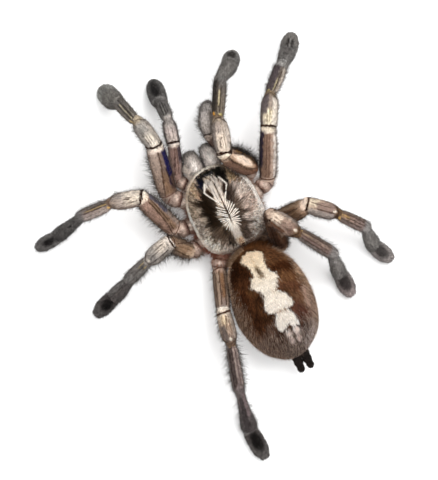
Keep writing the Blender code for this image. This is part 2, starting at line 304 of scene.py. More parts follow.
def bristles(growth, roots, directions, length, width, colours, bend=None):
    """Three-sided hairs that stand off the surface: straight, or with one bend halfway."""
    directions = unit(directions)
    side = unit(np.cross(directions, UP + 0.01 if bend is None else bend + 1e-6))
    other = np.cross(directions, side)
    corners = []
    rings = [(0.0, 1.0)] if bend is None else [(0.0, 1.0), (0.5, 0.7)]
    for place, share in rings:
        middle = roots + directions * (length * place)[:, None]
        if bend is not None:
            middle = middle + bend * (length * place**2)[:, None]
        for turn in HAIR_CORNERS:
            around = side * math.cos(turn) + other * math.sin(turn)
            corners.append(middle + around * (width * share / 2)[:, None])
    tip = roots + directions * length[:, None]
    corners.append(tip if bend is None else tip + bend * length[:, None])
    last = len(corners) - 1
    start = np.arange(len(roots))[:, None] * len(corners)
    faces = []
    for k in range(3):
        after = (k + 1) % 3
        if bend is not None:
            faces += [start + (k, after, 3 + after), start + (k, 3 + after, 3 + k)]
        faces.append(start + (last - 3 + k, last - 3 + after, last))
    growth.add(np.stack(corners, 1), np.repeat(colours[:, None], len(corners), 1), np.concatenate(faces, 1))


# ---------------------------------------------------------------- materials


def set_inputs(node, **values):
    for name, value in values.items():
        node.inputs[name.replace("_", " ")].default_value = value


def coat_material(name, roughness, gloss, bump, mottle=0.12, scale=900.0):
    """Reads the colour that each hair was given, and breaks it up with fine mottling."""
    material = bpy.data.materials.new(name)
    material.use_nodes = True
    nodes, link = material.node_tree.nodes, material.node_tree.links.new
    shader = nodes["Principled BSDF"]
    set_inputs(shader, Roughness=roughness, Specular_IOR_Level=gloss)
    coat = nodes.new("ShaderNodeAttribute")
    coat.attribute_name = "coat"
    places = nodes.new("ShaderNodeTexCoord")
    speckle = nodes.new("ShaderNodeTexNoise")
    set_inputs(speckle, Scale=scale, Detail=3.0)
    link(places.outputs["Object"], speckle.inputs["Vector"])
    amount = nodes.new("ShaderNodeMapRange")
    set_inputs(amount, From_Min=0.3, From_Max=0.7, To_Min=1 - mottle, To_Max=1 + mottle)
    link(speckle.outputs["Fac"], amount.inputs["Value"])
    toned = nodes.new("ShaderNodeVectorMath")
    toned.operation = "SCALE"
    link(coat.outputs["Color"], toned.inputs[0])
    link(amount.outputs["Result"], toned.inputs["Scale"])
    link(toned.outputs["Vector"], shader.inputs["Base Color"])
    relief = nodes.new("ShaderNodeBump")
    set_inputs(relief, Strength=bump, Distance=0.1 * MM)
    link(speckle.outputs["Fac"], relief.inputs["Height"])
    link(relief.outputs["Normal"], shader.inputs["Normal"])
    return material


# ---------------------------------------------------------------- body shapes, as the solids have them

CARAPACE_LENGTH = 24.2
HALF_LENGTH = CARAPACE_LENGTH / 2
CARAPACE_WIDTH = 19.8
FRONT_CURVE = 2.1
REAR_CURVE = 3.4
RIM_HEIGHT = 9.7
FRONT_RIM_LIFT = 1.6
RIM_THICKNESS = 0.5
CROWN = 3.4
HEAD_RISE = 1.7
HEAD_Y = 18.4
HEAD_SPREAD = 4.6
FOVEA_Y = 8.7
FOVEA_DEPTH = 0.9
FOVEA_WIDTH = 1.6
FOVEA_LENGTH = 1.4
STERNUM_Y = 11.0
STERNUM_WIDTH = 8.2
STERNUM_LENGTH = 15.8
STERNUM_TOP = 9.4
STERNUM_EDGE = 5.6
STERNUM_BOTTOM = 4.7

ABDOMEN_FRONT = -0.9
ABDOMEN_LENGTH = 34.0
ABDOMEN_WIDTH = 22.8
ABDOMEN_HEIGHT = 18.8
ABDOMEN_X = 0.9
ABDOMEN_Z = 12.9
ABDOMEN_FRONT_DROP = 2.6
ABDOMEN_REAR_DROP = 3.4
ABDOMEN_FRONT_CURVE = 2.2
ABDOMEN_REAR_CURVE = 1.85
PRESS_DEPTH = 0.9
PRESS_Y = -10.0
PRESS_SPREAD = 5.0
# How the abdomen's skin lies in its solid: its shares of the width and the height, and how far
# left it lies. From REAR_FROM to REAR_TO its end is drawn in, forward and to the left.
SKIN_WIDTH_SHARE = 0.96
SKIN_HEIGHT_SHARE = 0.975
SKIN_LEFT = 0.2
REAR_FROM = -27.0
REAR_TO = -34.9
REAR_FORWARD = 1.3
REAR_LEFT = 0.3

CHELICERA_X = 2.55
# Sections of a jaw, by y: the height of its middle, its half width and its half height.
CHELICERA_BASE = (
    (22.1, 7.8, 0.0, 0.0),
    (22.6, 7.8, 1.4, 1.2),
    (24.0, 7.8, 2.0, 2.4),
    (24.7, 8.5, 2.25, 3.6),
    (26.5, 8.8, 2.35, 4.2),
    (28.6, 8.4, 1.95, 3.8),
    (29.9, 7.6, 1.4, 2.4),
    (30.4, 7.0, 0.0, 0.0),
)
# Sections of a fang: y, z and radius.
FANG = (
    (29.0, 7.4, 0.0),
    (29.0, 6.4, 1.0),
    (28.7, 4.1, 0.95),
    (27.3, 3.5, 0.8),
    (25.3, 3.3, 0.55),
    (23.8, 3.5, 0.3),
    (23.0, 3.8, 0.0),
)
SPINNERET_LENGTH = 3.8
SPINNERET_DROP = 1.6
SPINNERET_WIDTH = 2.2
SPINNERET_SPACING = 2.5
SPINNERET_Z = 8.4

COXA_HEIGHT = 7.0
# Profiles: pairs of a place and a share of the radius. A place from 0 to 1 is a share of the
# length, and beyond an end it is counted in radii.
SHORT = ((-0.6, 0.0), (-0.2, 0.8), (0.5, 1.0), (1.2, 0.8), (1.6, 0.0))
EVEN = ((-0.6, 0.0), (-0.2, 0.72), (0.2, 0.94), (0.75, 1.0), (1.2, 0.78), (1.55, 0.0))
LONG = ((-0.6, 0.0), (-0.2, 0.76), (0.14, 0.98), (0.55, 1.0), (0.88, 0.93), (1.2, 0.72), (1.55, 0.0))
FLARED = ((-0.6, 0.0), (-0.2, 0.66), (0.15, 0.78), (0.6, 0.96), (0.86, 0.9), (1.15, 0.56), (1.45, 0.0))
PAD = ((-0.5, 0.0), (-0.15, 0.56), (0.1, 0.8), (0.45, 0.98), (0.9, 0.97), (1.55, 0.66), (1.95, 0.0))
BEADED = (
    (-0.3, 0.0), (0.04, 0.8), (0.2, 1.0), (0.36, 0.78),
    (0.52, 0.9), (0.68, 0.62), (0.84, 0.7), (1.1, 0.0),
)
PROFILES = {
    "coxa": SHORT,
    "trochanter": SHORT,
    "femur": LONG,
    "patella": EVEN,
    "tibia": EVEN,
    "metatarsus": FLARED,
    "tarsus": PAD,
}

# Each limb starts at its hip beside the sternum. Then each segment has its heading, in degrees
# clockwise from straight ahead, how far it reaches over the floor, the height of its far end,
# and its thickness. A palp has no metatarsus.
SEGMENTS = ("coxa", "trochanter", "femur", "patella", "tibia", "metatarsus", "tarsus")
LIMBS = {
    "leg_1_left": (
        (-5.2, 15.1), (-49, 6.5, 7.4, 3.6), (-50, 3.1, 8.2, 4.4), (10, 14.2, 15.4, 5.5),
        (-10, 8.8, 19.0, 4.6), (-16, 7.5, 15.4, 4.1), (-39, 2.5, 5.4, 5.6), (-15, 2.1, 2.4, 5.8),
    ),
    "leg_2_left": (
        (-5.6, 11.2), (-85, 6.1, 7.2, 3.6), (-86, 2.9, 7.6, 4.4), (-21, 12.8, 15.8, 5.4),
        (-74, 9.1, 15.0, 4.6), (-86, 9.2, 9.4, 4.1), (-101, 8.8, 2.1, 4.2), (-93, 4.6, 1.8, 4.3),
    ),
    "leg_3_left": (
        (-5.2, 7.3), (-105, 5.9, 7.2, 3.6), (-106, 2.8, 7.4, 4.3), (-41, 6.4, 18.6, 4.8),
        (-105, 7.7, 16.6, 4.8), (-107, 7.4, 9.6, 4.1), (-111, 6.9, 2.3, 4.6), (-110, 4.9, 2.0, 4.9),
    ),
    "leg_4_left": (
        (-4.0, 3.7), (-143, 5.0, 7.0, 3.6), (-142, 2.3, 7.0, 4.2), (-160, 12.4, 13.6, 4.2),
        (-168, 9.0, 14.2, 4.3), (-164, 12.8, 10.8, 3.9), (-169, 12.5, 2.4, 4.4), (-184, 6.5, 2.1, 5.0),
    ),
    "leg_1_right": (
        (5.2, 15.1), (61, 4.9, 7.4, 3.6), (62, 2.4, 8.4, 3.7), (-38, 8.4, 20.2, 4.9),
        (15, 9.9, 20.0, 4.7), (29, 10.6, 15.4, 4.2), (58, 5.7, 5.4, 4.6), (40, 2.2, 2.2, 5.0),
    ),
    "leg_2_right": (
        (5.6, 11.2), (75, 5.9, 7.0, 3.6), (76, 2.8, 7.0, 4.0), (26, 14.6, 14.4, 4.8),
        (29, 9.4, 14.0, 4.6), (48, 8.9, 9.2, 4.2), (47, 4.6, 2.5, 4.7), (37, 2.8, 2.2, 5.2),
    ),
    "leg_3_right": (
        (5.2, 7.3), (135, 4.8, 7.0, 3.4), (135, 2.3, 7.2, 3.7), (88, 10.2, 14.4, 4.8),
        (131, 9.1, 14.0, 4.6), (140, 8.7, 9.4, 4.2), (177, 6.0, 2.3, 4.3), (153, 3.8, 2.0, 4.9),
    ),
    "leg_4_right": (
        (4.0, 3.7), (144, 6.7, 6.4, 3.4), (144, 3.1, 6.8, 4.0), (5, 8.9, 19.4, 4.9),
        (149, 8.9, 19.0, 4.8), (147, 11.5, 13.0, 4.2), (181, 6.3, 2.4, 4.2), (178, 4.3, 2.1, 5.0),
    ),
    "palp_left": (
        (-3.4, 18.4), (-40, 5.2, 7.0, 3.2), (-39, 2.5, 7.0, 3.4), (19, 10.5, 9.8, 3.7),
        (13, 6.8, 10.0, 3.9), (3, 5.3, 7.2, 3.6), (6, 4.7, 2.2, 5.2),
    ),
    "palp_right": (
        (3.4, 18.4), (53, 4.3, 7.4, 3.2), (54, 2.1, 7.8, 3.2), (-21, 10.5, 11.4, 3.5),
        (17, 5.7, 11.6, 4.3), (36, 1.8, 8.6, 4.1), (25, 1.2, 2.4, 4.4),
    ),
}

# Markings on a limb, seen from above. Places along a segment run from 0 at its near end to 1 at
# its far end. Places across it run from -1 at its left edge to 1 at its right, facing its tip.
SOFT_ALONG = 0.03
SOFT_ACROSS = 0.07


def between(low, high, x, soft):
    return smooth(low - soft, low + soft, x) * (1 - smooth(high - soft, high + soft, x))


def wash(start, stop, low, high, colour, strength=1.0, lean=0.0):
    """A stretch of another colour. Its far end is shifted across the limb by lean."""

    def amount(t, s):
        shift = lean * (t - start) / (stop - start)
        across = between(low, high, s - shift, min(SOFT_ACROSS, (high - low) / 2))
        return strength * across * between(start, stop, t, SOFT_ALONG)

    return colour, amount


def spot(t0, s0, long, wide, colour, strength=1.0):
    """A soft spot, given by its half length and half width."""

    def amount(t, s):
        return strength * smooth(1.25, 0.6, np.hypot((t - t0) / long, (s - s0) / wide))

    return colour, amount


def band(place, width, colour, strength=1.0, slant=0.0, vee=0.0):
    """A band across the segment, slanted or bent to a vee."""

    def amount(t, s):
        middle = place + slant * s + vee * np.abs(s)
        return strength * smooth(width * 0.8, width * 0.3, np.abs(t - middle))

    return colour, amount


def tip(place=1.0, colour=srgb(58, 46, 40), width=0.3):
    """The dark edge round the rounded end of a segment that laps over the next: painted shade under its
    lapping end.
    """
    back = ((0.17, -0.97), (0.08, -0.72), (0.01, -0.3), (0.0, 0.0), (0.01, 0.3), (0.08, 0.72), (0.17, 0.97))
    return width, colour, np.array([(place - step, across) for step, across in back])


def line(width, colour, *route):
    """A fine line of close hairs, by its width in mm and the places along and across that it
    runs through."""
    return width, colour, np.reshape(route, (-1, 2))


def seam(width, colour, place, slant=0.0, vee=0.0):
    """A fine line right round the limb."""
    turn = np.linspace(-math.pi, math.pi, 49)
    across = np.sin(turn)
    return width, colour, np.stack([place + slant * across + vee * np.abs(across), turn], 1), "round"


# Each segment has the places and colours of its coat from its near end to its far end, then rows
# for its markings and its fine lines, each with what the function of its name takes.
# In the trochanter's rows, the pale spot is a painted highlight.
HIP = """
coxa 0 #786050 .5 #a8968a 1 #beac9c
 band .86 .12 #cebcb0 .8
 band 1 .12 #604236 .7
trochanter 0 #967c70 .5 #bca496 1 #b0988c
 band .12 .2 #603e34 .8 .05
 spot .6 .1 .25 .4 #d6c2b4 .65
 seam .22 #422c26 .02 .04
 seam .2 #6e5448 1.02 0
"""
COAT_ROWS = {
    "leg_1_left": """
femur 0 #baa294 .09 #ac9486 .14 #8e7666 .6 #a08c7f .93 #a29084 .97 #e0d0c2 1.3 #e2d2c4
 wash .12 .62 -.25 .9 #705642 .9 .15
 wash .55 .94 0 .5 #6a574d .85
 wash .16 .55 .62 1.1 #42302a .9
 wash .28 .93 .5 .7 #282038 .85
 wash .45 .94 .55 1.1 #18153e 1
 line .28 #463226 .1 -.32 .4 -.12 .66 .12 .94 .2
 line .2 #6e5e54 .14 -.86 .92 -.84
 line .3 #281e1e .16 .95 .32 .62 .6 .5
 seam .2 #785c4e .1 .03
patella -.2 #ece2d4 0 #ded0c0 .4 #beb3a7 .7 #9e9790 .9 #a29b93 1 #a49682
 wash .1 .5 -.2 .4 #e4d9cb .9
 wash .08 .9 -1.1 -.5 #8c8680 .8
 wash .1 .94 .55 1.1 #948b82 .85
 spot .75 -.2 .14 .5 #84807a .6
 seam .75 #301c13 .05 -.05 .03
 line .16 #5c544c .14 -.46 .64 -.46
 line .13 #786e62 .16 .08 .56 .08
 line .14 #968c7e .2 -.2 .5 -.18
 tip 1.03 #6e6050 .22
tibia -.1 #aa9878 .04 #786e65 .7 #6a6561 1 #686561
 wash .05 .9 -1.1 -.5 #7e766f .7
 spot .03 .72 .05 .22 #e2ceaa .9
 spot .02 -.8 .07 .14 #ceb27e .9
 wash .06 .9 .25 1.1 #605b56 .7
 line .24 #302a26 .03 -.42 .72 -.4
 line .2 #c4b89a .05 -.14 .7 -.12
 line .32 #342e2a .03 .16 .85 .14
 line .16 #968e80 .08 .4 .6 .4
metatarsus 0 #74706a 1 #706d68
tarsus 0 #888681 1 #8e8d88
 spot .5 0 .6 .5 #706e6a .6
""",
    "leg_2_left": """
femur 0 #ceb8a8 .12 #c4aa9a .18 #8e7263 .985 #967a6c 1.015 #d8c6b4 1.3 #dcccbc
 wash .16 .95 -.1 .4 #765e4a .9 .2
 wash .12 1 .5 1.1 #82746a .8 .15
 wash .5 1 .6 1.1 #444454 .85 .1
 line .26 #3a281d .12 -.5 .35 -.12 .65 .1 .95 .24
 line .24 #48362a .18 -.1 .45 .24 .95 .56
 line .2 #60483a .14 -.7 .9 -.92
 seam .2 #6e5446 .1 .06
patella -.2 #e4dacc .02 #dacebe .4 #ccbeae .65 #a6988e .9 #948478 1.04 #766254
 wash .08 .95 -1.1 -.7 #86766c .85
 wash .1 .6 .4 .95 #d6cabc .8
 wash .6 .95 .3 1 #8e8680 .7
 seam .75 #301a12 .02 -.055
 line .2 #4a362a .36 .05 .5 .12
 line .16 #6e5a4c .28 .24 .46 .26
 line .14 #78665a .14 -.3 .6 -.34
 tip 1.02 #624e40 .24
tibia -.1 #826c5c .04 #a08e82 .1 #a8968c .75 #9e8e88 .9 #787472 1 #64615f
 spot .03 -.5 .035 .3 #e2ba6e .95
 spot .01 .75 .05 .16 #ceb078 .8
 wash .02 .75 .26 .46 #9c8868 .8
 wash .05 .8 .58 1.1 #68625c .8
 wash .08 .85 -1.1 -.4 #b4a69e .7
 line .24 #3a2a22 .02 .14 .74 .12
 line .16 #ceb076 .04 .32 .66 .3
 line .26 #362c26 .02 .54 .62 .5
 line .16 #b4a498 .06 -.3 .7 -.3
metatarsus 0 #706b69 .14 #54514f 1 #4a4745
 spot .32 -.1 .07 .25 #1a1817 .9
 wash .12 .9 .5 1.1 #5c5a58 .6
tarsus 0 #625f5d 1 #565351
 spot .5 -.05 .46 .55 #121010 1
""",
    "leg_3_left": """
femur 0 #b09682 .12 #c8b2a0 .3 #987c62 .9 #8e745e 1.03 #8a705c 1.06 #846a58 1.5 #967c68
 wash .15 .9 .55 1.1 #6a5646 .9
 wash .15 .85 -1.1 -.7 #8a7361 .8
 wash .9 1.6 .5 1.1 #78604e .9
 spot 1.1 -.35 .05 .2 #6e5644 .9
 spot 1.09 .2 .04 .14 #6e5644 .9
 wash .05 .45 -.2 .5 #c4aa92 .6 -.4
 line .3 #3a291e .08 -.85 .3 -.56 .9 -.5
 line .26 #423024 .22 .95 .6 .74 .92 .36
 line .18 #785c46 .3 .2 .85 .1
 seam .2 #543e30 1.02 0 .01
patella -.2 #e4d8cc .02 #cec2b6 .3 #baaea2 .6 #968f88 .95 #989089
 wash .05 .42 -.15 .7 #cec1b3 .9
 wash .06 .9 -1.1 -.42 #908881 .85
 spot .72 -.1 .14 .5 #76706c .7
 spot .93 0 .05 .3 #d2c8ba .9
 seam .32 #3a2a21 -.12 -.03 .02
 line .2 #4e4642 .1 -.55 .88 -.5
 line .13 #827870 .1 .08 .75 .05
 line .13 #968c82 .1 .4 .6 .36
 tip 1.02 #544840 .26
tibia 0 #7e766e .2 #76706b .9 #706c69 1 #726d6a
 wash .05 .9 -1.1 -.6 #7e7874 .8
 spot .03 .6 .035 .25 #d4b470 .9
 line .14 #c4aa72 .04 -.55 .2 -.42
 line .14 #baa270 .06 .4 .3 .2
 line .15 #4a4440 .08 -.1 .6 -.12
metatarsus 0 #625c59 .2 #544e4c .85 #56504e 1 #786c6a
 wash .1 .9 .4 1.1 #787471 .7
 line .14 #847c74 .3 0 .62 0
tarsus 0 #706664 .12 #484240 1 #504c4a
 spot .5 -.1 .5 .7 #0c0908 1
""",
    "leg_4_left": """
coxa 0 #805040 .6 #946a5a 1 #a07c6e
femur 0 #bea698 .1 #b09686 .2 #907563 .7 #887062 .93 #88786e .96 #e6dbcd 1.3 #e4d8ca
 wash .2 .75 -.55 0 #7a583c .8
 wash .2 .9 .15 .5 #9c8876 .7
 wash .15 .92 .6 1.1 #68584c .8
 wash .15 .92 -1.1 -.6 #aa9280 .8
 line .2 #463123 .18 -.6 .88 -.55
 line .2 #4e382a .14 .06 .9 .1
 line .2 #544236 .2 .58 .93 .6
 seam .2 #644a3c .09 .03
patella -.2 #e2d6c8 .02 #d4c4b2 .45 #a6907c .8 #907c6f .96 #7c6556 1.04 #6e5848
 spot .25 .2 .16 .45 #dcc6a4 .7
 wash .42 .92 .22 .9 #60544e .95 -.15
 wash .1 .9 -1.1 -.6 #a09185 .8
 spot .87 -.15 .05 .2 #e8dece 1
 seam .36 #4e3226 .03 .02
 line .2 #745844 .1 -.2 .5 .04
 line .14 #8c705c .12 -.45 .7 -.4
 line .14 #967c66 .1 .4 .4 .4
 tip 1 #3e2e26
tibia -.08 #705c4e .04 #8e7a70 .12 #98857e .85 #867672 1 #6c6260
 spot .02 .55 .03 .25 #dcb25c 1
 spot .01 -.7 .035 .15 #ceac70 .9
 wash .05 .95 .2 .72 #524541 .95
 wash .05 .9 .72 1.1 #706460 .7
 wash .03 .9 -1.1 -.6 #a4938c .8
 line .3 #342926 .03 .14 .85 .16
 line .28 #2c2422 .05 .66 .95 .62
 line .16 #baa89c .08 -.1 .7 -.1
 line .15 #685650 .05 -.45 .8 -.45
metatarsus 0 #786b69 .4 #5e5554 .9 #524c4b 1 #807a78
 wash 0 .6 -1.1 -.3 #7e6e6e .8
 wash .15 .95 -.25 .6 #342e2e .75
tarsus 0 #787270 .1 #524b49 1 #585452
 spot .5 -.1 .52 .8 #090605 1
""",
    # On leg_1_right's femur, the small pale spot within the pale oval is a painted highlight.
    "leg_1_right": """
femur 0 #805c48 .35 #7a5844 .9 #8c705c 1.05 #c8b09a 1.3 #d2bca8
 spot .56 .26 .42 .54 #b49880 1
 spot .6 .28 .32 .38 #e2cebc .95
 wash .1 .95 -1.1 -.4 #785b4b .9 .1
 wash .1 .86 .8 .92 #aa7e40 .85
 wash 0 .95 .93 1.2 #261c16 .95
 line .55 #261912 .06 .4 .2 -.02 .45 -.3 .97 -.34
 line .42 #281b14 .06 .56 .3 .72 .6 .74 .92 .56
 line .4 #221812 .04 .9 .4 .96 .9 .9
 line .36 #2e2119 1 -.95 1 .2 .96 .98
patella -.2 #dcceba .03 #cebead .5 #cabbac .75 #ac9e92 .95 #9e8e7c 1.04 #705c48
 wash .06 .88 -1.1 -.62 #706660 .9 .06
 wash .58 .9 -.6 .2 #9a8c83 .8
 wash .1 .94 .5 1.1 #b0a49a .8
 wash -.05 .3 .78 1.1 #28201c .9
 seam .65 #2e1c14 .01
 line .2 #4e3e34 .14 -.3 .4 -.2
 line .14 #6e5c50 .28 -.02 .44 -.04
 line .13 #968678 .12 .3 .5 .28
 tip 1 #3e3026
tibia -.1 #86704c .03 #7c6e5a .1 #74695d .6 #686058 .85 #68635f 1 #686562
 spot .03 .5 .05 .4 #e6d488 1
 spot .06 -.85 .08 .2 #e4a442 1
 wash .12 .96 -1.1 -.42 #26211d .95
 wash .06 .9 -.42 -.18 #423931 .9
 wash .24 .66 -.12 .14 #beae8c .8
 line .2 #d6c8a6 .3 .02 .64 .02
 line .2 #42372e .1 .2 .8 .2
 line .14 #968876 .1 .44 .5 .44
metatarsus 0 #706c68 .7 #6a6662 1 #5c5956
 wash .1 .95 .4 1.1 #7c7874 .7
 spot .5 -.2 .3 .3 #7a7672 .6
tarsus 0 #6c6966 1 #807d7a
 spot .5 -.1 .5 .6 #282422 .9
""",
    "leg_2_right": """
femur 0 #ceb4a0 .08 #ccb4a4 .14 #7c6252 .94 #826859 .975 #e0d3c2 1.3 #ded0be
 wash .12 .96 .32 .66 #b29c8c .8
 wash .12 .96 .66 1.1 #d8cec5 .9
 wash .08 .96 -1.1 -.8 #382c2c .9
 wash .32 .97 -1.1 -.64 #242030 .95 .06
 line .16 #5c4438 .15 -.22 .92 -.16
 line .15 #685042 .15 .12 .92 .14
 line .15 #70584a .2 -.45 .9 -.42
 seam .2 #60483a .1 0
patella -.2 #ded0be .02 #cec0ac .45 #bcae98 .62 #96887c .85 #8c7e74 1.04 #7c6a54
 wash .1 .5 -.35 .3 #dcd0b8 .9
 wash .08 .9 .4 1.1 #d6ccc0 .8
 wash .4 .98 -1.1 -.3 #564c4e .9 .2
 wash .06 .5 -1.1 -.7 #5a504e .9
 seam .45 #3a2a20 .05
 line .16 #786246 .14 -.2 .36 -.22
 line .14 #8c785c .14 .1 .5 .08
 tip 1.02 #42362c
tibia -.1 #8c7c68 .02 #9c8c78 .1 #a29484 .75 #988e84 .88 #7c7976 1 #706e6b
 wash .02 .86 -1.1 .02 #42393c .95
 wash .1 .86 0 .46 #5a5049 .9
 spot 0 -.75 .05 .25 #e2cc82 1
 wash .1 .46 .12 .24 #ccbe94 .75
 wash .06 .85 .42 1.1 #bcb0a4 .7
 band .93 .1 #9c9894 .7 0 .04
 line .18 #4c3e30 .04 .4 .7 .36
 line .14 #6e6254 .06 .6 .6 .56
metatarsus 0 #706d6a .7 #66625f .9 #807d7a 1 #64615e
 band .03 .1 #bab7b4 .9
 wash .3 .8 -.5 .2 #4c4846 .7
tarsus 0 #6a6764 1 #686460
 wash .3 1.25 -.46 -.14 #1a1614 .95
 wash .3 1.1 .06 .4 #1e1a18 .9
 line .16 #96928e .3 -.04 1.1 -.04
""",
    "leg_3_right": """
femur 0 #543c2c .5 #4a3526 .8 #5c4534 .94 #967c68 1 #d6c0ae 1.3 #dcc8b8
 wash .3 .9 .3 .7 #5c4636 .7
 wash .2 .95 -1.1 -.6 #846e5a .8
 spot 1 .7 .12 .4 #785c48 .8
 line .16 #78604a .5 .1 .92 0
 line .2 #2e2016 .4 -.3 .88 -.25
patella -.2 #deccbe .03 #beaa96 .35 #a08c7b .8 #826d64 .95 #705844 1.04 #624c38
 wash .06 .36 -.9 -.1 #cebea8 .9
 wash .3 .88 -.7 .3 #8c766c .8
 wash .1 .9 .3 1.1 #988e88 .8
 spot .87 -.1 .05 .2 #e8dcca 1
 seam .45 #3e281c .02
 line .16 #786254 .1 -.4 .7 -.36
 line .2 #54423a .3 .2 .85 .16
 tip 1 #3a2a20
tibia -.08 #786250 .05 #826c5c .35 #867064 .8 #806e68 .9 #888380 1 #807c79
 wash 0 .3 -.5 .2 #927454 .7
 wash .05 .85 .35 1.1 #84746e .7
 wash .05 .85 -1.1 -.75 #64564e .8
 spot .02 -.7 .04 .16 #d6b270 .9
 spot .04 .6 .045 .3 #d8b068 1
 line .18 #52423a .04 -.6 .8 -.56
 line .16 #ceaa70 .03 -.3 .26 -.2
 line .18 #54443c .2 -.1 .82 -.1
 line .16 #54443e .05 .42 .75 .4
metatarsus 0 #989491 .3 #807c78 .9 #7c7874 1 #86827e
 spot .4 -.5 .18 .3 #54504d .6
 spot .75 .3 .14 .3 #625e5b .5
tarsus 0 #8e8885 1 #847d7a
 spot .42 -.02 .72 .78 #2a2625 .9
 wash .1 1.3 .6 1.1 #8c8481 .6
""",
    "leg_4_right": """
coxa 0 #5a4232 .6 #826854 1 #4a2e1e
trochanter 0 #422616 1 #4e301c
 seam .2 #281810 0
femur 0 #967c6a .08 #5c402e .2 #503424 .8 #604533 .92 #785c4a .99 #b49d8b 1.3 #b09886
 spot .97 -1 .13 .42 #3a2419 .95
 wash .1 .85 -.9 .05 #362014 .9
 wash .45 1.1 .3 1.1 #b0947e .85 -.35
 wash .3 1 0 .3 #684a38 .7 -.2
 line .2 #70503a .3 .2 .85 -.1
 line .2 #24160e .15 -.5 .8 -.55
 seam 1.2 #362318 1.01
patella -.2 #b09886 .06 #beaa98 .4 #a69282 .75 #866f62 .95 #745a44 1.04 #624a36
 wash .06 .36 -.6 .5 #d8c6b4 .8
 wash .4 .85 -.5 .6 #8c7468 .7
 spot .74 .35 .09 .3 #5c443a .8
 wash .06 .9 -1.1 -.7 #8e8076 .7
 wash .06 .62 .64 1.1 #684836 .9
 spot .88 -.1 .045 .2 #e8dccc 1
 line .3 #603e2e .1 .76 .6 .7
 line .15 #967e6c .1 -.1 .5 -.06
 line .15 #82685a .15 .3 .65 .3
 tip 1 #38261c
tibia -.08 #7c6654 .04 #867060 .12 #887266 .8 #84726c .9 #847e7b 1 #807b78
 spot .02 -.7 .03 .18 #d8b470 .9
 spot .03 .55 .035 .3 #d6ac60 1
 wash .04 .84 -.55 -.1 #806c60 .8
 wash .04 .84 0 .45 #826b63 .8
 wash .05 .84 .5 1.1 #827670 .8
 wash .04 .84 -1.1 -.7 #62544c .8
 line .2 #4e3e36 .03 -.62 .84 -.58
 line .14 #baa280 .05 -.34 .3 -.32
 line .16 #5c4840 .03 .02 .7 .02
 line .22 #463732 .03 .5 .8 .46
metatarsus 0 #989390 .3 #88837f 1 #807b78
 spot .3 .4 .1 .25 #625e5b .6
 wash .3 .9 -.5 -.1 #726d6a .7
tarsus 0 #88817e 1 #8a7e7b
 spot .42 0 .74 .82 #282221 .92
 wash .1 1.3 -1.1 -.66 #78706e .5
""",
    "palp_left": """
femur 0 #a0867c .12 #8e746a .9 #886e65 .945 #d8c8bb 1.3 #ded0c4
 wash .1 .92 -1.1 -.75 #74605c .9
 wash .5 .92 .5 1.1 #3a323c .9
 wash .1 .55 .6 1.1 #867670 .8
 line .26 #4c342f .18 -.32 .55 -.1 .9 .12
 line .18 #604840 .2 .3 .85 .36
patella -.2 #ded0c4 .02 #cec0b6 .5 #bcada7 .75 #9a918b 1 #8c8580
 wash .05 .95 .72 1.1 #544e4c .9
 wash .05 .95 -1.1 -.75 #605855 .9
 seam .5 #2e1e1a .05 0 -.03
 line .14 #7e706a .14 .25 .6 .24
 line .14 #968882 .14 -.3 .6 -.28
tibia -.1 #b0a8a2 .06 #8c8682 .16 #686461 1 #5e5b59
 spot 0 -.5 .08 .3 #cec4ba .8
 spot .02 .6 .06 .25 #c4bab0 .7
 line .2 #322e2c .1 -.35 .7 -.32
 line .22 #302c2a .1 .1 .75 .1
 line .15 #96928c .08 -.1 .6 -.1
 line .18 #3a3634 .12 .45 .65 .42
tarsus 0 #585553 1 #585654
 spot .48 0 .56 .62 #141212 .95
""",
    "palp_right": """
femur 0 #887062 .15 #705a4f .9 #645046 .95 #b09e91 1.3 #b09e91
patella -.1 #968a80 .06 #968c85 .5 #b0a7a0 1 #aaa29d
 wash 0 1.1 -1.1 -.7 #7a7471 .8
 wash 0 1.1 .45 1.1 #7a7068 .85
 line .24 #362a26 .02 -.9 .05 0 .02 .9
tibia -.3 #b0a8a2 .4 #b2aba6 1.3 #a49e9a
 wash -.3 1.3 -1.1 -.75 #847f7c .6
 spot .9 .8 .3 .3 #c8a86e .6
tarsus 0 #8c8783 1 #686461
""",
}
MARKS = {"wash": wash, "spot": spot, "band": band}
LINES = {"line": line, "seam": seam, "tip": tip}


def read_coat(text):
    """For each segment its colours from end to end, its markings and its fine lines."""
    coat = {}
    for kind, *values in rows(text):
        if kind in PROFILES:
            stops, marks, lines = coat[kind] = values, [], []
        elif kind in MARKS:
            marks.append(MARKS[kind](*values))
        else:
            lines.append(LINES[kind](*values))
    return coat


COATS = {limb: read_coat(HIP + text) for limb, text in COAT_ROWS.items()}


# ---------------------------------------------------------------- limbs


def joints_of(hip, segments):
    """The ends of the segments, from the hip to the tip of the foot."""
    ends = [np.array((hip[0], hip[1], COXA_HEIGHT))]
    for heading, reach, height, _ in segments:
        turn = math.radians(heading)
        x, y = ends[-1][0] + reach * math.sin(turn), ends[-1][1] + reach * math.cos(turn)
        ends.append(np.array((x, y, height)))
    return ends


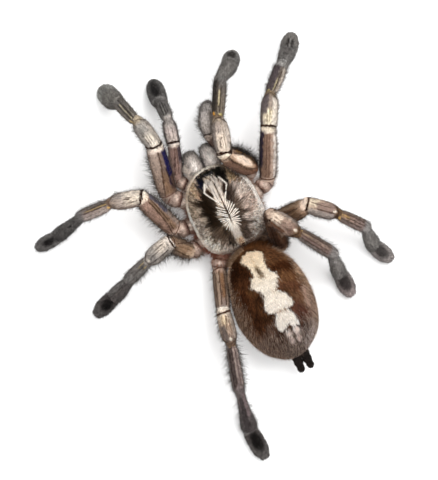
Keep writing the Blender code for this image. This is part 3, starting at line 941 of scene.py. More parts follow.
def spindle(start, end, thickness, profile, sink=0.0, swell=(0.0, 1.0, 1.0, 1.0), shift=0.0):
    """A surface round a straight segment. a is mm along it, and b is the angle from its top."""
    length = np.linalg.norm(end - start)
    along = (end - start) / length
    across = unit(np.cross(along, UP))
    up = np.cross(across, along)
    start = start + across * shift
    half = thickness / 2
    places = []
    for place, _ in profile:
        if place < 0:
            places.append(place * half)
        elif place > 1:
            places.append(length + (place - 1) * half)
        else:
            places.append(place * length)
    shares = [share for _, share in profile]
    first, last = places[1], places[-2]

    def radius(a):
        share = curve_through(places[1:-1], shares[1:-1], a)
        share = share * curve_through(swell[::2], swell[1::2], a / length)
        before = np.clip((first - a) / (first - places[0]), 0, 1)
        beyond = np.clip((a - last) / (places[-1] - last), 0, 1)
        cap = np.sqrt(np.maximum(1 - np.maximum(before, beyond) ** 2, 0))
        return np.maximum(share * half * cap - sink * cap, 0.0)

    def place(a, b):
        a, b = np.broadcast_arrays(a, b)
        reach = radius(a)[..., None]
        round_it = np.cos(b)[..., None] * up + np.sin(b)[..., None] * across
        return start + along * a[..., None] + round_it * reach

    surface = Surface(place, (places[0] * 0.98, -math.pi), (places[-1], math.pi))
    surface.length, surface.ends, surface.radius = length, (places[0], places[-1]), radius
    return surface


def skin_of(growth, surface, paint, rings, sides, shade=0.8):
    """The skin of a surface as rings from end to end, closest at the ends. Its colours are scaled by shade:
    painted shade under the hair.
    """
    low, high = surface.ends
    turn = np.linspace(0, math.pi, rings + 2)[1:-1]
    ring_skin(growth, surface, paint, low + (high - low) * (1 - np.cos(turn)) / 2, sides, shade)


def ring_skin(growth, surface, paint, places, sides, shade):
    """The skin of a surface as rings at the given places along it, scaled by shade as painted shade under
    the hair.
    """
    b = np.arange(sides) / sides * 2 * math.pi - math.pi
    a, b = np.broadcast_arrays(places[:, None], b[None, :])
    points = surface.place(a, b)
    colours = paint(a.ravel(), b.ravel(), points.reshape(-1, 3)).reshape(points.shape) * shade
    growth.skin(points, colours)


def limb_paint(limb, part, length):
    """The colours of a segment, as paint(a, b, points), with painted shade along its sides."""
    stops, marks, _ = COATS[limb][part]
    seed = sum(map(ord, limb + part))

    if part == "tarsus" and limb != "palp_right":
        marks = [*marks, band(0.0, 0.6 / length, srgb(160, 156, 152), 0.5)]

    def paint(a, b, points):
        t = a / length + 0.10 / length * ripple(points[:, 0], points[:, 1], 0.9, seed)
        s = np.sin(b) + 0.05 * ripple(a, points[:, 2], 1.4, seed + 1)
        colour = ramp(t, stops)
        for over, amount in marks:
            colour = blend(colour, over, amount(t, s))
        # The sides of the segment are darker: painted shade where the round segment turns from the light.
        return colour * (1 - 0.16 * smooth(0.8, 1.0, np.abs(s)))[..., None]

    return paint


def draw_lines(growth, surface, lines, paint, rng):
    """The fine lines of a limb, each of close short hairs laid along it."""
    for width, colour, route, *way in lines:
        a = route[:, 0] * surface.length
        b = route[:, 1] if way else np.arcsin(np.clip(route[:, 1], -0.999, 0.999))
        round_step = surface.radius((a[:-1] + a[1:]) / 2) * np.diff(b)
        size = np.hypot(np.diff(a), round_step)
        heading = np.arctan2(round_step, np.diff(a))
        mark = np.concatenate([[0.0], np.cumsum(size)])
        count = int(mark[-1] / LINE_STEP * (1.4 if way else 1.0))
        at = rng.uniform(0, mark[-1], count)
        leg = np.clip(np.searchsorted(mark, at) - 1, 0, len(size) - 1)
        share = (at - mark[leg]) / np.maximum(size[leg], 1e-6)
        uneven = ripple(at, np.full(count, width * 9), 1.6, int(mark[-1] * 100))
        kept = rng.random(count) < (1.0 if way else 0.75) + 0.35 * uneven
        at, leg, share, uneven = at[kept], leg[kept], share[kept], uneven[kept]
        count = len(at)
        off = rng.normal(0, width * 0.33, count) * (1 + 0.4 * uneven)
        a_at = a[leg] + share * (a[leg + 1] - a[leg]) - off * np.sin(heading[leg])
        b_at = b[leg] + share * (b[leg + 1] - b[leg])
        b_at = b_at + off * np.cos(heading[leg]) / np.maximum(surface.radius(a_at), 0.3)
        felt(
            growth, surface, (a_at, b_at), heading[leg] + rng.normal(0, 0.12, count),
            rng.uniform(0.35, 0.6, count), rng.uniform(0.2, 0.3, count), np.full(count, min(width, 0.22)),
            lambda a, b, points: blend(colour, paint(a, b, points), np.full(len(a), 0.0 if way else 0.25)),
            rng.uniform(0.7, 1.2, count), 0.18 if way else 0.12,
        )


# How a coat grows: the length, lift and width of its hairs, in mm, how far their headings spread,
# how much they differ in tone, and the shares of dark and of light hairs among them.
SLEEK = ((0.4, 0.9), (0.04, 0.22), (0.13, 0.22), 0.25, 0.3, 0.12, 0.1)
FLUFFY = ((0.6, 1.3), (0.1, 0.5), (0.12, 0.2), 0.55, 0.3, 0.12, 0.1)
VELVET = ((0.3, 0.7), (0.2, 0.5), (0.13, 0.22), 1.1, 0.45, 0.12, 0.12)
COAT_STYLES = {
    "coxa": FLUFFY,
    "trochanter": FLUFFY,
    "femur": SLEEK,
    "patella": SLEEK,
    "tibia": SLEEK,
    "metatarsus": VELVET,
    "tarsus": VELVET,
}
# Hairs that stand off the limb: how many for each mm of it, the range of their lengths, how
# steeply they rise, and their colour.
GUARD_STYLES = named_rows("""
coxa 90 .8 2 .5 1.6 #967868
trochanter 60 .6 1.6 .5 1.6 #8c7466
femur 60 .5 1.9 .6 2 #483e38
patella 50 .5 1.5 .5 1.6 #48403c
tibia 62 .5 1.7 .5 1.6 #443d39
metatarsus 66 .4 1.2 .6 2 #504d4a
tarsus 80 .4 .9 .8 3 #5a5754
""")
# Extra hair on one side of a segment: the angle of its middle and its spread, how many hairs,
# the range of their lengths, and their colour. Every tarsus has the hair of its pad besides.
FURRY_EDGES = rows("""
leg_1_left femur -1.5 .35 330 1.1 3.8 #423a36
leg_1_left patella -1.5 .35 140 .8 2.8 #504844
leg_2_left femur 1.45 .35 380 1.1 3.6 #3c3734
leg_2_left femur -1.5 .35 360 1.1 3.8 #423a34
leg_2_left patella 1.5 .4 180 .8 2.6 #544e4a
leg_2_left tibia 1.5 .4 240 .8 2.2 #544e4a
leg_3_left femur 1.5 .4 260 .9 2.8 #443830
leg_3_left femur -1.5 .4 360 1.1 3.8 #443a34
leg_3_left trochanter -1.4 .5 300 1 2.6 #605046
leg_3_left coxa -1.2 .7 800 1 2.6 #885c4a
leg_3_left coxa 1.2 .5 300 .8 1.8 #8c6858
leg_3_left patella -1.5 .4 200 .9 3.6 #46403c
leg_3_left tibia -1.5 .4 190 .8 3 #46403c
leg_4_left coxa 0 1.6 1300 .9 2.6 #8a5e4c
leg_4_left trochanter -.6 1.2 500 .8 2 #885c48
leg_4_left femur -1.5 .4 300 .7 1.8 #605046
leg_4_left patella 1.5 .35 200 .8 2.4 #544c46
leg_4_left tibia 1.5 .35 300 1.1 3.6 #4a433f
leg_4_left tibia -1.5 .35 300 1.1 3.6 #4a433f
leg_4_left metatarsus 1.5 .4 240 .9 2.8 #544e4c
leg_4_left metatarsus -1.5 .4 240 .9 2.8 #544e4c
leg_1_right femur 1.2 .3 1000 .8 3.8 #16110e
leg_2_right femur 1.5 .4 500 .6 2 #6e625a
leg_2_right patella 1.5 .4 260 .6 1.8 #786c62
leg_2_right tibia -1.5 .3 160 .6 1.6 #3c3638
leg_2_right tibia 1.5 .4 200 .7 2 #645c58
leg_3_right femur -1.3 .5 500 .6 1.8 #46362a
leg_3_right patella 1.5 .4 260 .6 1.8 #544840
leg_3_right metatarsus -1.5 .4 160 .6 1.8 #605c58
leg_4_right femur 1.4 .5 600 .6 1.8 #3a2c24
leg_4_right metatarsus -1.5 .4 200 .6 2 #605c58
leg_4_right tibia 1.5 .4 200 .6 1.6 #544c46
palp_left patella -1.4 .5 240 .6 1.5 #4c4644
palp_right patella -1.4 .6 330 .8 2.6 #5c5652
palp_right tibia -1.4 .6 240 .7 2.2 #605a56
palp_right tarsus 0 1.6 500 .6 1.6 #605a56
""")
PAD_HAIR = words("0 .5 170 .3 .9 #241f1e")
# How the hair fills out each segment, as places along it with a share of the radius after each,
# and how far it lies to the right of the middle.
SWELL = named_rows("""
coxa 0 1.32 1 1.3
trochanter 0 1.12 1 1.1
femur 0 .9 .3 1.02 .9 1.02 1 1.06
patella -.05 1.3 .1 1.14 .4 1.12 .7 1.08 .95 .87 1.1 .74
tibia -.2 .7 0 .84 .12 .95 .8 .98 1 1.06 1.1 1.08
metatarsus 0 1 .2 .95 .5 1 .85 1.16 1.05 1.4
tarsus -.1 1.5 .1 1.22 .4 1.06 1 1.05 1.3 1.12
leg_4_left metatarsus 0 1 .2 .78 .5 .84 .85 1.2 1.05 1.4
leg_3_left coxa 0 1.4 1 1.35
leg_4_left coxa 0 1.4 1 1.3
leg_1_right femur 0 1 .4 1.24 .75 1.22 1 1.04
leg_3_right femur 0 1.15 .5 1.15 1 1.1
leg_4_right patella -.05 .96 .1 1.02 .4 1.12 .7 1.08 .95 .87 1.1 .74
palp_left tibia -.2 .9 0 1 .2 1.14 .8 1.12 1.1 1.06
palp_right patella 0 .86 .6 1.12 1 1.04
palp_right tarsus -.3 1 .4 .86 1 .72
""")
SHIFT = named_rows("""
leg_1_left patella .3
leg_1_left tibia -.2
leg_1_left metatarsus -.15
leg_2_left patella .4
leg_2_left metatarsus -.3
leg_2_left tarsus -.4
leg_3_left metatarsus -.35
leg_3_left tarsus -.2
leg_1_right metatarsus -.15
leg_1_right tarsus -.35
leg_2_right metatarsus .1
leg_2_right tarsus .25
leg_3_right patella -.45
leg_3_right tibia -.2
leg_3_right metatarsus .2
leg_4_right tibia -.2
leg_4_right metatarsus .25
palp_left tibia -.05
palp_left tarsus -.3
palp_right tibia .15
palp_right tarsus .3
""")
LIMB_RINGS = 12
RING_STEP = 0.4
LIMB_SIDES = 26
# How far the skin's colours are darkened under a limb's coat, as painted shade.
LIMB_SHADE = 0.95
FELT_PER_MM2 = 7.8
# The length of fine line for each hair on it.
LINE_STEP = 0.05
# How far the skin lies inside the solid, in mm, under its coat.
SINK = dict(zip(SEGMENTS, (0.14, 0.14, 0.14, 0.22, 0.26, 0.34, 0.36)))


def grow_limb(name, hip, segments, slot, material, rng):
    growth = Growth()
    ends = joints_of(hip, segments)
    parts = SEGMENTS if slot == "leg" else SEGMENTS[:5] + SEGMENTS[6:]
    for part, (_, _, _, thickness), start, end in zip(parts, segments, ends, ends[1:]):
        place = name + " " + part
        swell = SWELL.get(place, SWELL[part])
        (shift,) = SHIFT.get(place, (0.0,))
        surface = spindle(start, end, thickness, PROFILES[part], SINK[part], swell, shift)
        paint = limb_paint(name, part, surface.length)
        rings = LIMB_RINGS + int(surface.length / RING_STEP)
        skin_of(growth, surface, paint, rings, LIMB_SIDES, LIMB_SHADE)
        lengths, lifts, widths, spread, shade, dark, light = COAT_STYLES[part]
        count = int(math.pi * thickness * (surface.length + thickness) * FELT_PER_MM2)
        a, b = surface.scatter(rng, count, lambda a, b: 0.4 + 0.6 * smooth(-0.7, -0.1, np.cos(b)))
        tone = tones(rng, count, shade, dark, light) * (1 + 0.26 * tufts(a / 1.7, b * 4.5, 3))
        felt(
            growth, surface, (a, b), rng.normal(0, spread, count), rng.uniform(*lengths, count),
            rng.uniform(*lifts, count), rng.uniform(*widths, count), paint, tone,
        )
        draw_lines(growth, surface, COATS[name][part][2], paint, rng)
        grow_guards(growth, surface, part, rng)
        for limb, segment, *style in FURRY_EDGES:
            if (limb, segment) == (name, part):
                grow_furry_edge(growth, surface, style, rng)
        if part == "tarsus":
            grow_furry_edge(growth, surface, PAD_HAIR, rng)
    growth.piece(name, name, material)


def grow_guards(growth, surface, part, rng):
    """Hairs that stand off the limb, a few of them longer and bent."""
    per_mm, short, long, low, high, tint = GUARD_STYLES[part]
    count = int(surface.length * per_mm)
    a, b = surface.scatter(rng, count, lambda a, b: 0.3 + 0.7 * np.sin(b) ** 2)
    base, along, around, normal, _ = surface.at(a, b)
    rise = normal * rng.uniform(low, high, (count, 1)) * 1.3
    directions = along + rise + around * rng.normal(0, 0.3, (count, 1))
    colours = tint * rng.uniform(0.45, 1.7, (count, 1))
    length = short + (long - short) * rng.random(count) ** 1.6
    width = rng.uniform(0.045, 0.08, count)
    bent = rng.random(count) < 0.15
    bend = along * rng.uniform(0.1, 0.4, (count, 1)) - normal * rng.uniform(0, 0.15, (count, 1))
    bent_hairs = (directions[bent], length[bent] * 1.3, width[bent] * 1.2, colours[bent], bend[bent])
    bristles(growth, base[bent], *bent_hairs)
    straight = [values[~bent] for values in (base, directions, length, width, colours)]
    bristles(growth, *straight)


def grow_furry_edge(growth, surface, style, rng):
    """Hairs along one side of a segment, shorter towards its far end."""
    middle, spread, count, short, long, tint = style
    count = int(count)
    a, _ = surface.scatter(rng, count)
    b = rng.normal(middle, spread, count)
    base, along, around, normal, _ = surface.at(a, b)
    directions = normal + along * rng.uniform(-0.1, 1.1, (count, 1))
    directions = directions + around * rng.normal(0, 0.35, (count, 1))
    colours = tint * rng.uniform(0.5, 1.7, (count, 1))
    length = short + (long - short) * rng.random(count) ** 1.6
    length = length * smooth(1.25, 0.7, a / surface.length)
    bristles(growth, base, directions, length, rng.uniform(0.05, 0.09, count), colours)


# ---------------------------------------------------------------- abdomen


def abdomen_section(y):
    offset = (y - ABDOMEN_FRONT) / (ABDOMEN_LENGTH / 2) + 1
    curve = np.where(offset > 0, ABDOMEN_FRONT_CURVE, ABDOMEN_REAR_CURVE)
    drop = np.where(offset > 0, ABDOMEN_FRONT_DROP, ABDOMEN_REAR_DROP)
    swell = np.maximum(0.0, 1 - np.abs(offset) ** curve) ** (1 / curve)
    return ABDOMEN_Z - drop * offset**2, swell * ABDOMEN_WIDTH / 2, swell * ABDOMEN_HEIGHT / 2


def abdomen_place(a, b):
    """a runs from 0 at the front to pi at the rear, and b is the angle from the top."""
    a, b = np.broadcast_arrays(a, b)
    y = ABDOMEN_FRONT - ABDOMEN_LENGTH * (1 - np.cos(np.clip(a, 0, math.pi))) / 2
    z, half_width, half_height = abdomen_section(y)
    side = SKIN_WIDTH_SHARE * half_width * np.sin(b)
    dent = PRESS_DEPTH * np.exp(-(((y - PRESS_Y) / PRESS_SPREAD) ** 2))
    leftness = np.maximum(0.0, -np.sin(b))
    drawn_in = smooth(REAR_FROM, REAR_TO, y)
    x = ABDOMEN_X - SKIN_LEFT + side + dent * leftness**2 - REAR_LEFT * drawn_in
    rise = SKIN_HEIGHT_SHARE * half_height * np.cos(b)
    return np.stack([x, y + REAR_FORWARD * drawn_in, z + rise], -1)


# The corners of the pale figure on the abdomen.
FOLIO = (
    (0.5, -1.9), (-1.2, -2.3), (-2.5, -3.2), (-2.7, -3.9), (-1.5, -5.3), (-1.0, -6.5), (-1.0, -8.3),
    (-1.9, -9.2), (-2.9, -10.2), (-2.9, -11.0), (-2.2, -12.0), (-1.0, -13.6), (-0.6, -14.5), (-1.4, -15.7),
    (-1.8, -17.0), (-2.2, -18.2), (-1.9, -19.4), (-1.0, -19.8), (0.2, -20.0), (-0.3, -21.0), (-1.0, -22.0),
    (-1.3, -23.3), (-1.4, -24.6), (-0.6, -25.5), (0.4, -25.3), (1.2, -24.8), (1.8, -24.3), (2.4, -25.0),
    (3.2, -25.5), (4.3, -25.6), (5.0, -25.2), (4.6, -24.0), (4.6, -22.2), (4.1, -21.0), (3.3, -20.2),
    (4.4, -20.3), (5.4, -20.0), (6.0, -19.0), (5.9, -18.3), (5.2, -17.6), (5.3, -16.4), (4.2, -15.6),
    (3.4, -14.8), (3.1, -14.0), (4.2, -12.6), (5.0, -11.4), (5.1, -10.5), (4.3, -9.6), (3.6, -8.8),
    (3.2, -7.6), (3.4, -6.0), (4.0, -4.2), (4.0, -3.5), (3.0, -2.7), (1.6, -2.1),
)


ABDOMEN_RINGS = 46
ABDOMEN_SIDES = 50
# How far the abdomen's skin is darkened under its coat, as painted shade.
ABDOMEN_SHADE = 0.6
# No hair is rooted nearer to either end than this angle.
BARE_END = 0.06
UNDERCOAT_HAIRS = 36500
FROSTED_HAIRS = 8500
DARK_HAIRS = 5500
OUTLINE_HAIRS = 7500
SHOULDER_HAIRS = 800
BRUSH_HAIRS = 2500
# Gradients: the figure from its rear to its front, and the pale tips of hair from left to right.
FOLIO_COLOURS = words("-25 #fcf2e8 -17.5 #f4e9dc -12 #ece1d2 -6 #ead8be -2 #e4cdb2")
FROST_COLOURS = words("-6 #b69c88 5 #d2beb2 11 #d6b69a")


def distance(x, y, x0, y0, x1, y1):
    """Distance from the line between two places, in mm."""
    dx, dy = x1 - x0, y1 - y0
    along = np.clip(((x - x0) * dx + (y - y0) * dy) / max(dx * dx + dy * dy, 1e-6), 0, 1)
    return np.hypot(x - x0 - along * dx, y - y0 - along * dy)


def depth_inside(x, y, outline):
    """Distance from an outline, in mm: above 0 inside it."""
    corners = np.array(outline)
    nearest = np.full(x.shape, 1e9)
    inside = np.zeros(x.shape, bool)
    for (x0, y0), (x1, y1) in zip(corners, np.roll(corners, -1, 0)):
        nearest = np.minimum(nearest, distance(x, y, x0, y0, x1, y1))
        crosses = (y0 > y) != (y1 > y)
        inside ^= crosses & (x < x0 + (y - y0) * (x1 - x0) / (y1 - y0 if y1 != y0 else 1e-9))
    return np.where(inside, nearest, -nearest)


def streak(x, y, ends, reach):
    """1 on the line between its two ends, falling to 0 a bit beyond its reach."""
    return smooth(1.35, 0.55, distance(x, y, *ends) / reach)


def marked(colour, x, y, marks):
    """The colour with streaks laid over it in turn. A row has the x and y of both ends, the
    reach, the colour and the strength."""
    for *ends, reach, over, strength in marks:
        colour = blend(colour, over, strength * streak(x, y, ends, reach))
    return colour


VELVET_MARKS = rows("""
-5.6 -2 -9.4 -7.5 .75 #a88a70 .8
-8.8 -9 -9.2 -14 1.2 #4c3524 .85
-8.9 -15 -8.3 -24 1.9 #7a604e .85
-5 -4.6 -5.4 -9.2 3.1 #281307 .97
-2.4 -5.4 -2.6 -8.4 1.4 #321a0b .95
-4.6 -11 -4.4 -22 3.2 #50301c .95
-5.6 -12.4 -6.6 -15.6 1.1 #361b0d .8
-5 -18.4 -5.6 -21.4 1 #381e10 .7
-3.2 -11.6 -3.4 -12.8 .8 #5c3e24 .6
-3 -14.4 -1.6 -14.6 1 #2c190c .8
-3.4 -17.2 -2.8 -18.4 .8 #5c3c24 .6
-3.2 -20.6 -.8 -20.4 .9 #2e1c0f .85
-3.2 -24.5 -2 -30 2.3 #5e463a .8
-.6 -.6 6 -2.4 1.2 #422814 .85
5.4 -3.6 7.6 -7 2 #543621 .85
8.4 -5.2 10 -8.4 .7 #886648 .5
3.8 -8.6 10.2 -9.9 1.35 #3c1e0c .88
5.8 -12 9.2 -12.8 1.4 #714d33 .8
10.8 -11 11.4 -16 1 #be9b7f .8
4.4 -14.2 8.8 -15.8 1.5 #62402d .88
7 -18 9.8 -19 1.5 #825e46 .8
5.6 -21 7 -24 1.9 #623e32 .88
10.3 -18 9.6 -25 1.2 #b29584 .8
5.4 -26.6 7 -27.6 1 #543e36 .8
4.4 -30.6 8.2 -28 1.5 #bcaca6 .9
-1.2 -26.4 4.8 -26.4 1.2 #483229 .85
.2 -29.6 3.6 -29.6 1.2 #58423a .7
-.6 -33.4 3 -33.2 1 #281e1a .8
""")
TAIL_MARKS = rows("""
-.4 -25.9 4.6 -25.9 .32 #34221a .9
.95 -26.6 .9 -26.9 .85 #ffece2 .97
3.2 -26.5 3.3 -26.9 .9 #ffece2 .97
.9 -28.6 1 -29.1 .75 #e8d2c8 .95
2.9 -28.6 2.9 -29.2 .75 #e8d2c8 .95
1 -30.6 1.2 -31 .5 #968076 .7
2.05 -25.6 2.05 -28.8 .22 #34241e .95
.2 -20.1 3.3 -20.3 .17 #967a5e .9
2 -14.5 3 -14.5 .13 #b0987e .7
.75 -7 1.15 -9.2 .75 #7a6244 .9
.8 -7.4 1 -8.6 .4 #483420 .9
.4 -9.2 .3 -10 .16 #8c7456 .8
1.5 -9.2 1.6 -10 .16 #8c7456 .8
.5 -3.4 .65 -6.6 .2 #c4ac8e .8
""")
TAIL_SPOTS = TAIL_MARKS[1:5]


def abdomen_paint(a, b, points):
    """Dark velvet with washes of other browns, then the pale figure, then the marks on it."""
    x, y = points[:, 0], points[:, 1]
    top = np.cos(b)
    sway_x = x + 0.5 * ripple(x, y, 3.5, 11) + 0.3 * ripple(x, y, 1.2, 13) + 0.5 * ripple(x, y, 0.3, 14)
    sway_y = y + 0.5 * ripple(x, y, 3.5, 12) + 0.6 * ripple(x, y, 0.35, 15)
    colour = plain(srgb(100, 68, 44), x)
    from_middle = np.abs(x - ABDOMEN_X) / (ABDOMEN_WIDTH / 2)
    colour = blend(colour, srgb(122, 103, 93), smooth(-20, -31, y - 5 * from_middle) * 0.9)
    colour = marked(colour, sway_x, sway_y, VELVET_MARKS)
    # Lighter sides and underside: partly the coat's own paler hair, and stronger on the right as painted
    # light from that side.
    colour = blend(colour, srgb(146, 126, 110), smooth(0.5, 0.1, top) * (0.25 + 0.35 * smooth(-6, 6, x)))
    frayed_x = x + 0.22 * ripple(x, y, 0.8, 2) + 0.16 * ripple(x, y, 0.35, 4)
    frayed_y = y + 0.26 * ripple(x, y, 0.8, 3)
    depth = depth_inside(frayed_x, frayed_y, FOLIO)
    shown = smooth(-0.12, 0.12, depth) * smooth(0.3, 0.5, top)
    colour = blend(colour, srgb(56, 32, 17), smooth(-1.0, -0.1, depth) * smooth(0.3, 0.5, top) * 0.5)
    colour = blend(colour, ramp(y, FOLIO_COLOURS), shown)
    return marked(colour, frayed_x, frayed_y, TAIL_MARKS)


def pale_patch(x, y):
    """1 on the pale figure and on the spots behind it, and 0 on the dark coat."""
    shown = smooth(-0.2, 0.3, depth_inside(x, y, FOLIO))
    for *ends, reach, _, _ in TAIL_SPOTS:
        shown = np.maximum(shown, streak(x, y, ends, reach))
    return shown


def flow(b, rng):
    """The heading of the hair: to the rear, and outward at the sides."""
    return 0.4 * np.sin(b) - 0.08 + rng.normal(0, 0.2, len(b))


def grow_undercoat(growth, surface, rng):
    count = UNDERCOAT_HAIRS
    a, b = surface.scatter(rng, count, lambda a, b: 0.3 + 0.7 * smooth(-0.4, 0.3, np.cos(b)))
    rearness = smooth(1.0, 2.2, a)
    place = surface.place(a, b)
    calm = pale_patch(place[:, 0], place[:, 1]) * (np.cos(b) > 0.3)
    tone = tones(rng, count, 0.42, 0.22, 0.14, 1.9) * (1 + 0.42 * tufts(a * 10.0, b * 36, 7))
    tone = np.where(calm > 0, 1 + (tone - 1) * (1 - 0.8 * calm), tone)
    length = rng.uniform(0.5, 1.1, count) * (1 + 0.6 * rearness) * (1 - 0.35 * calm)
    felt(
        growth, surface, (a, b), flow(b, rng), length,
        rng.uniform(0.05, 0.3, count), rng.uniform(0.1, 0.16, count), abdomen_paint, tone,
    )


def frosted(a, b):
    """How thick the long hairs stand: thickest at the sides and the rear, and none on the figure."""
    x, y, _ = np.moveaxis(abdomen_place(a, b), -1, 0)
    clear = smooth(-0.3, -1.2, depth_inside(x, y, FOLIO)) * (1 - pale_patch(x, y))
    left = smooth(-5.5, -9.5, x) * smooth(-6.0, -14.0, y)
    right = 0.5 * smooth(8.5, 11.0, x)
    rear = smooth(-21.0, -30.0, y)
    return np.clip(left + right + rear, 0, 1) * (np.cos(b) > -0.5) * clear


def frost_paint(a, b, points):
    return blend(abdomen_paint(a, b, points), ramp(points[:, 0], FROST_COLOURS), np.full(len(a), 0.8))


def grow_frost(growth, surface, rng):
    """Long hairs with pale tips, and dark ones among them."""
    count = FROSTED_HAIRS
    a, b = surface.scatter(rng, count, frosted)
    felt(
        growth, surface, (a, b), flow(b, rng), rng.uniform(0.9, 2.2, count), rng.uniform(0.2, 0.6, count),
        rng.uniform(0.07, 0.12, count), frost_paint,
        rng.uniform(0.5, 1.25, count) * (1 + 0.3 * tufts(a * 9.0, b * 30, 8)),
    )
    count = DARK_HAIRS
    a, b = surface.scatter(rng, count, frosted)
    felt(
        growth, surface, (a, b), flow(b, rng), rng.uniform(0.9, 2.2, count), rng.uniform(0.25, 0.7, count),
        rng.uniform(0.08, 0.13, count), lambda a, b, points: plain(srgb(46, 28, 19), a),
        rng.uniform(0.5, 1.5, count),
    )


def grow_outline(growth, surface, rng):
    """Hair that softens the outline."""
    count = OUTLINE_HAIRS
    a, b = surface.scatter(rng, count, lambda a, b: smooth(0.9, 0.5, np.abs(np.abs(b) - 1.4)))
    base, along, around, normal, _ = surface.at(a, b)
    directions = along * rng.uniform(0.3, 1.3, (count, 1)) + normal * rng.uniform(0.5, 1.0, (count, 1))
    colours = abdomen_paint(a, b, base) * rng.uniform(0.4, 2.2, (count, 1))
    lengths, widths = rng.uniform(0.6, 1.7, count), rng.uniform(0.045, 0.08, count)
    bristles(growth, base, directions, lengths, widths, colours)


def grow_shoulder(growth, surface, rng):
    """Lighter hair on the left shoulder, over the fourth leg."""
    count = SHOULDER_HAIRS
    a = rng.uniform(0.35, 1.3, count)
    b = rng.normal(-1.42, 0.12, count)
    base, along, around, normal, _ = surface.at(a, b)
    directions = normal + along * rng.uniform(0.4, 1.2, (count, 1)) + rng.normal(0, 0.12, (count, 3))
    colours = srgb(204, 172, 146) * rng.uniform(0.35, 1.3, (count, 1))
    bristles(growth, base, directions, rng.uniform(0.4, 1.2, count), rng.uniform(0.06, 0.1, count), colours)


def grow_brush(growth, surface, rng):
    """Longer hair at the front, which meets the carapace."""
    count = BRUSH_HAIRS
    b = rng.uniform(-2.0, 2.0, count)
    a = rng.uniform(0.06, 0.16 + 0.4 * smooth(0.5, 1.3, np.abs(b)))
    base, along, around, normal, _ = surface.at(a, b)
    outward = np.stack([0.9 * np.sin(b), np.full(count, 0.6), np.full(count, -0.05)], -1)
    directions = outward + normal * 0.3 + rng.normal(0, 0.16, (count, 3))
    tint = np.where((b < -0.4)[:, None], srgb(142, 114, 90), srgb(84, 52, 28))
    colours = tint * rng.uniform(0.3, 1.4, (count, 1))
    length = rng.uniform(0.8, 1.9, count) * (0.6 + 0.5 * np.abs(np.sin(b)))
    bristles(growth, base, directions, length, rng.uniform(0.1, 0.17, count), colours)


def grow_abdomen(material, rng):
    growth = Growth()
    surface = Surface(abdomen_place, (BARE_END, -math.pi), (math.pi - BARE_END, math.pi), turned=-1)
    places = np.arange(1, ABDOMEN_RINGS) / ABDOMEN_RINGS * math.pi
    ring_skin(growth, surface, abdomen_paint, places, ABDOMEN_SIDES, ABDOMEN_SHADE)
    for grow in (grow_undercoat, grow_frost, grow_outline, grow_shoulder, grow_brush):
        grow(growth, surface, rng)
    growth.piece("abdomen", "abdomen", material)


# ---------------------------------------------------------------- carapace


def superellipse(turn, half_width, half_length, curve):
    side = np.abs(np.sin(turn)) / half_width
    ahead = np.abs(np.cos(turn)) / half_length
    return (side**curve + ahead**curve) ** (-1 / curve)


def rim_reach(turn):
    """How far the rim lies from the middle of the shield, by the angle from straight ahead."""
    curve = np.where(np.cos(turn) > 0, FRONT_CURVE, REAR_CURVE)
    return superellipse(turn, CARAPACE_WIDTH / 2, HALF_LENGTH, curve)


def by_rim(turn, share):
    """The x and y of places at a share of the way from the middle of the shield to its rim."""
    reach = rim_reach(turn) * share
    return reach * np.sin(turn), HALF_LENGTH + reach * np.cos(turn)


def carapace_share(x, y):
    """0 at the middle of the shield and 1 at its rim."""
    return np.hypot(x, y - HALF_LENGTH) / rim_reach(np.arctan2(x, y - HALF_LENGTH))


def rim_height(y):
    return RIM_HEIGHT + FRONT_RIM_LIFT * (np.maximum(0.0, y - HALF_LENGTH) / HALF_LENGTH) ** 2


def bump(x, y, middle_y, width, length):
    return np.exp(-((x / width) ** 2) - ((y - middle_y) / length) ** 2)


def carapace_top(x, y, share):
    """The height of the shield, with its raised head and the pit behind it."""
    share = np.clip(share, 0, 1)
    height = rim_height(y) + CROWN * (1 - share**2.2) ** 0.8
    height = height + HEAD_RISE * bump(x, y, HEAD_Y, HEAD_SPREAD, HEAD_SPREAD) * (1 - share**4)
    return height - FOVEA_DEPTH * bump(x, y, FOVEA_Y, FOVEA_WIDTH, FOVEA_LENGTH)


def carapace_place(x, y):
    x, y = np.broadcast_arrays(x, y)
    return np.stack([x, y, carapace_top(x, y, carapace_share(x, y))], -1)


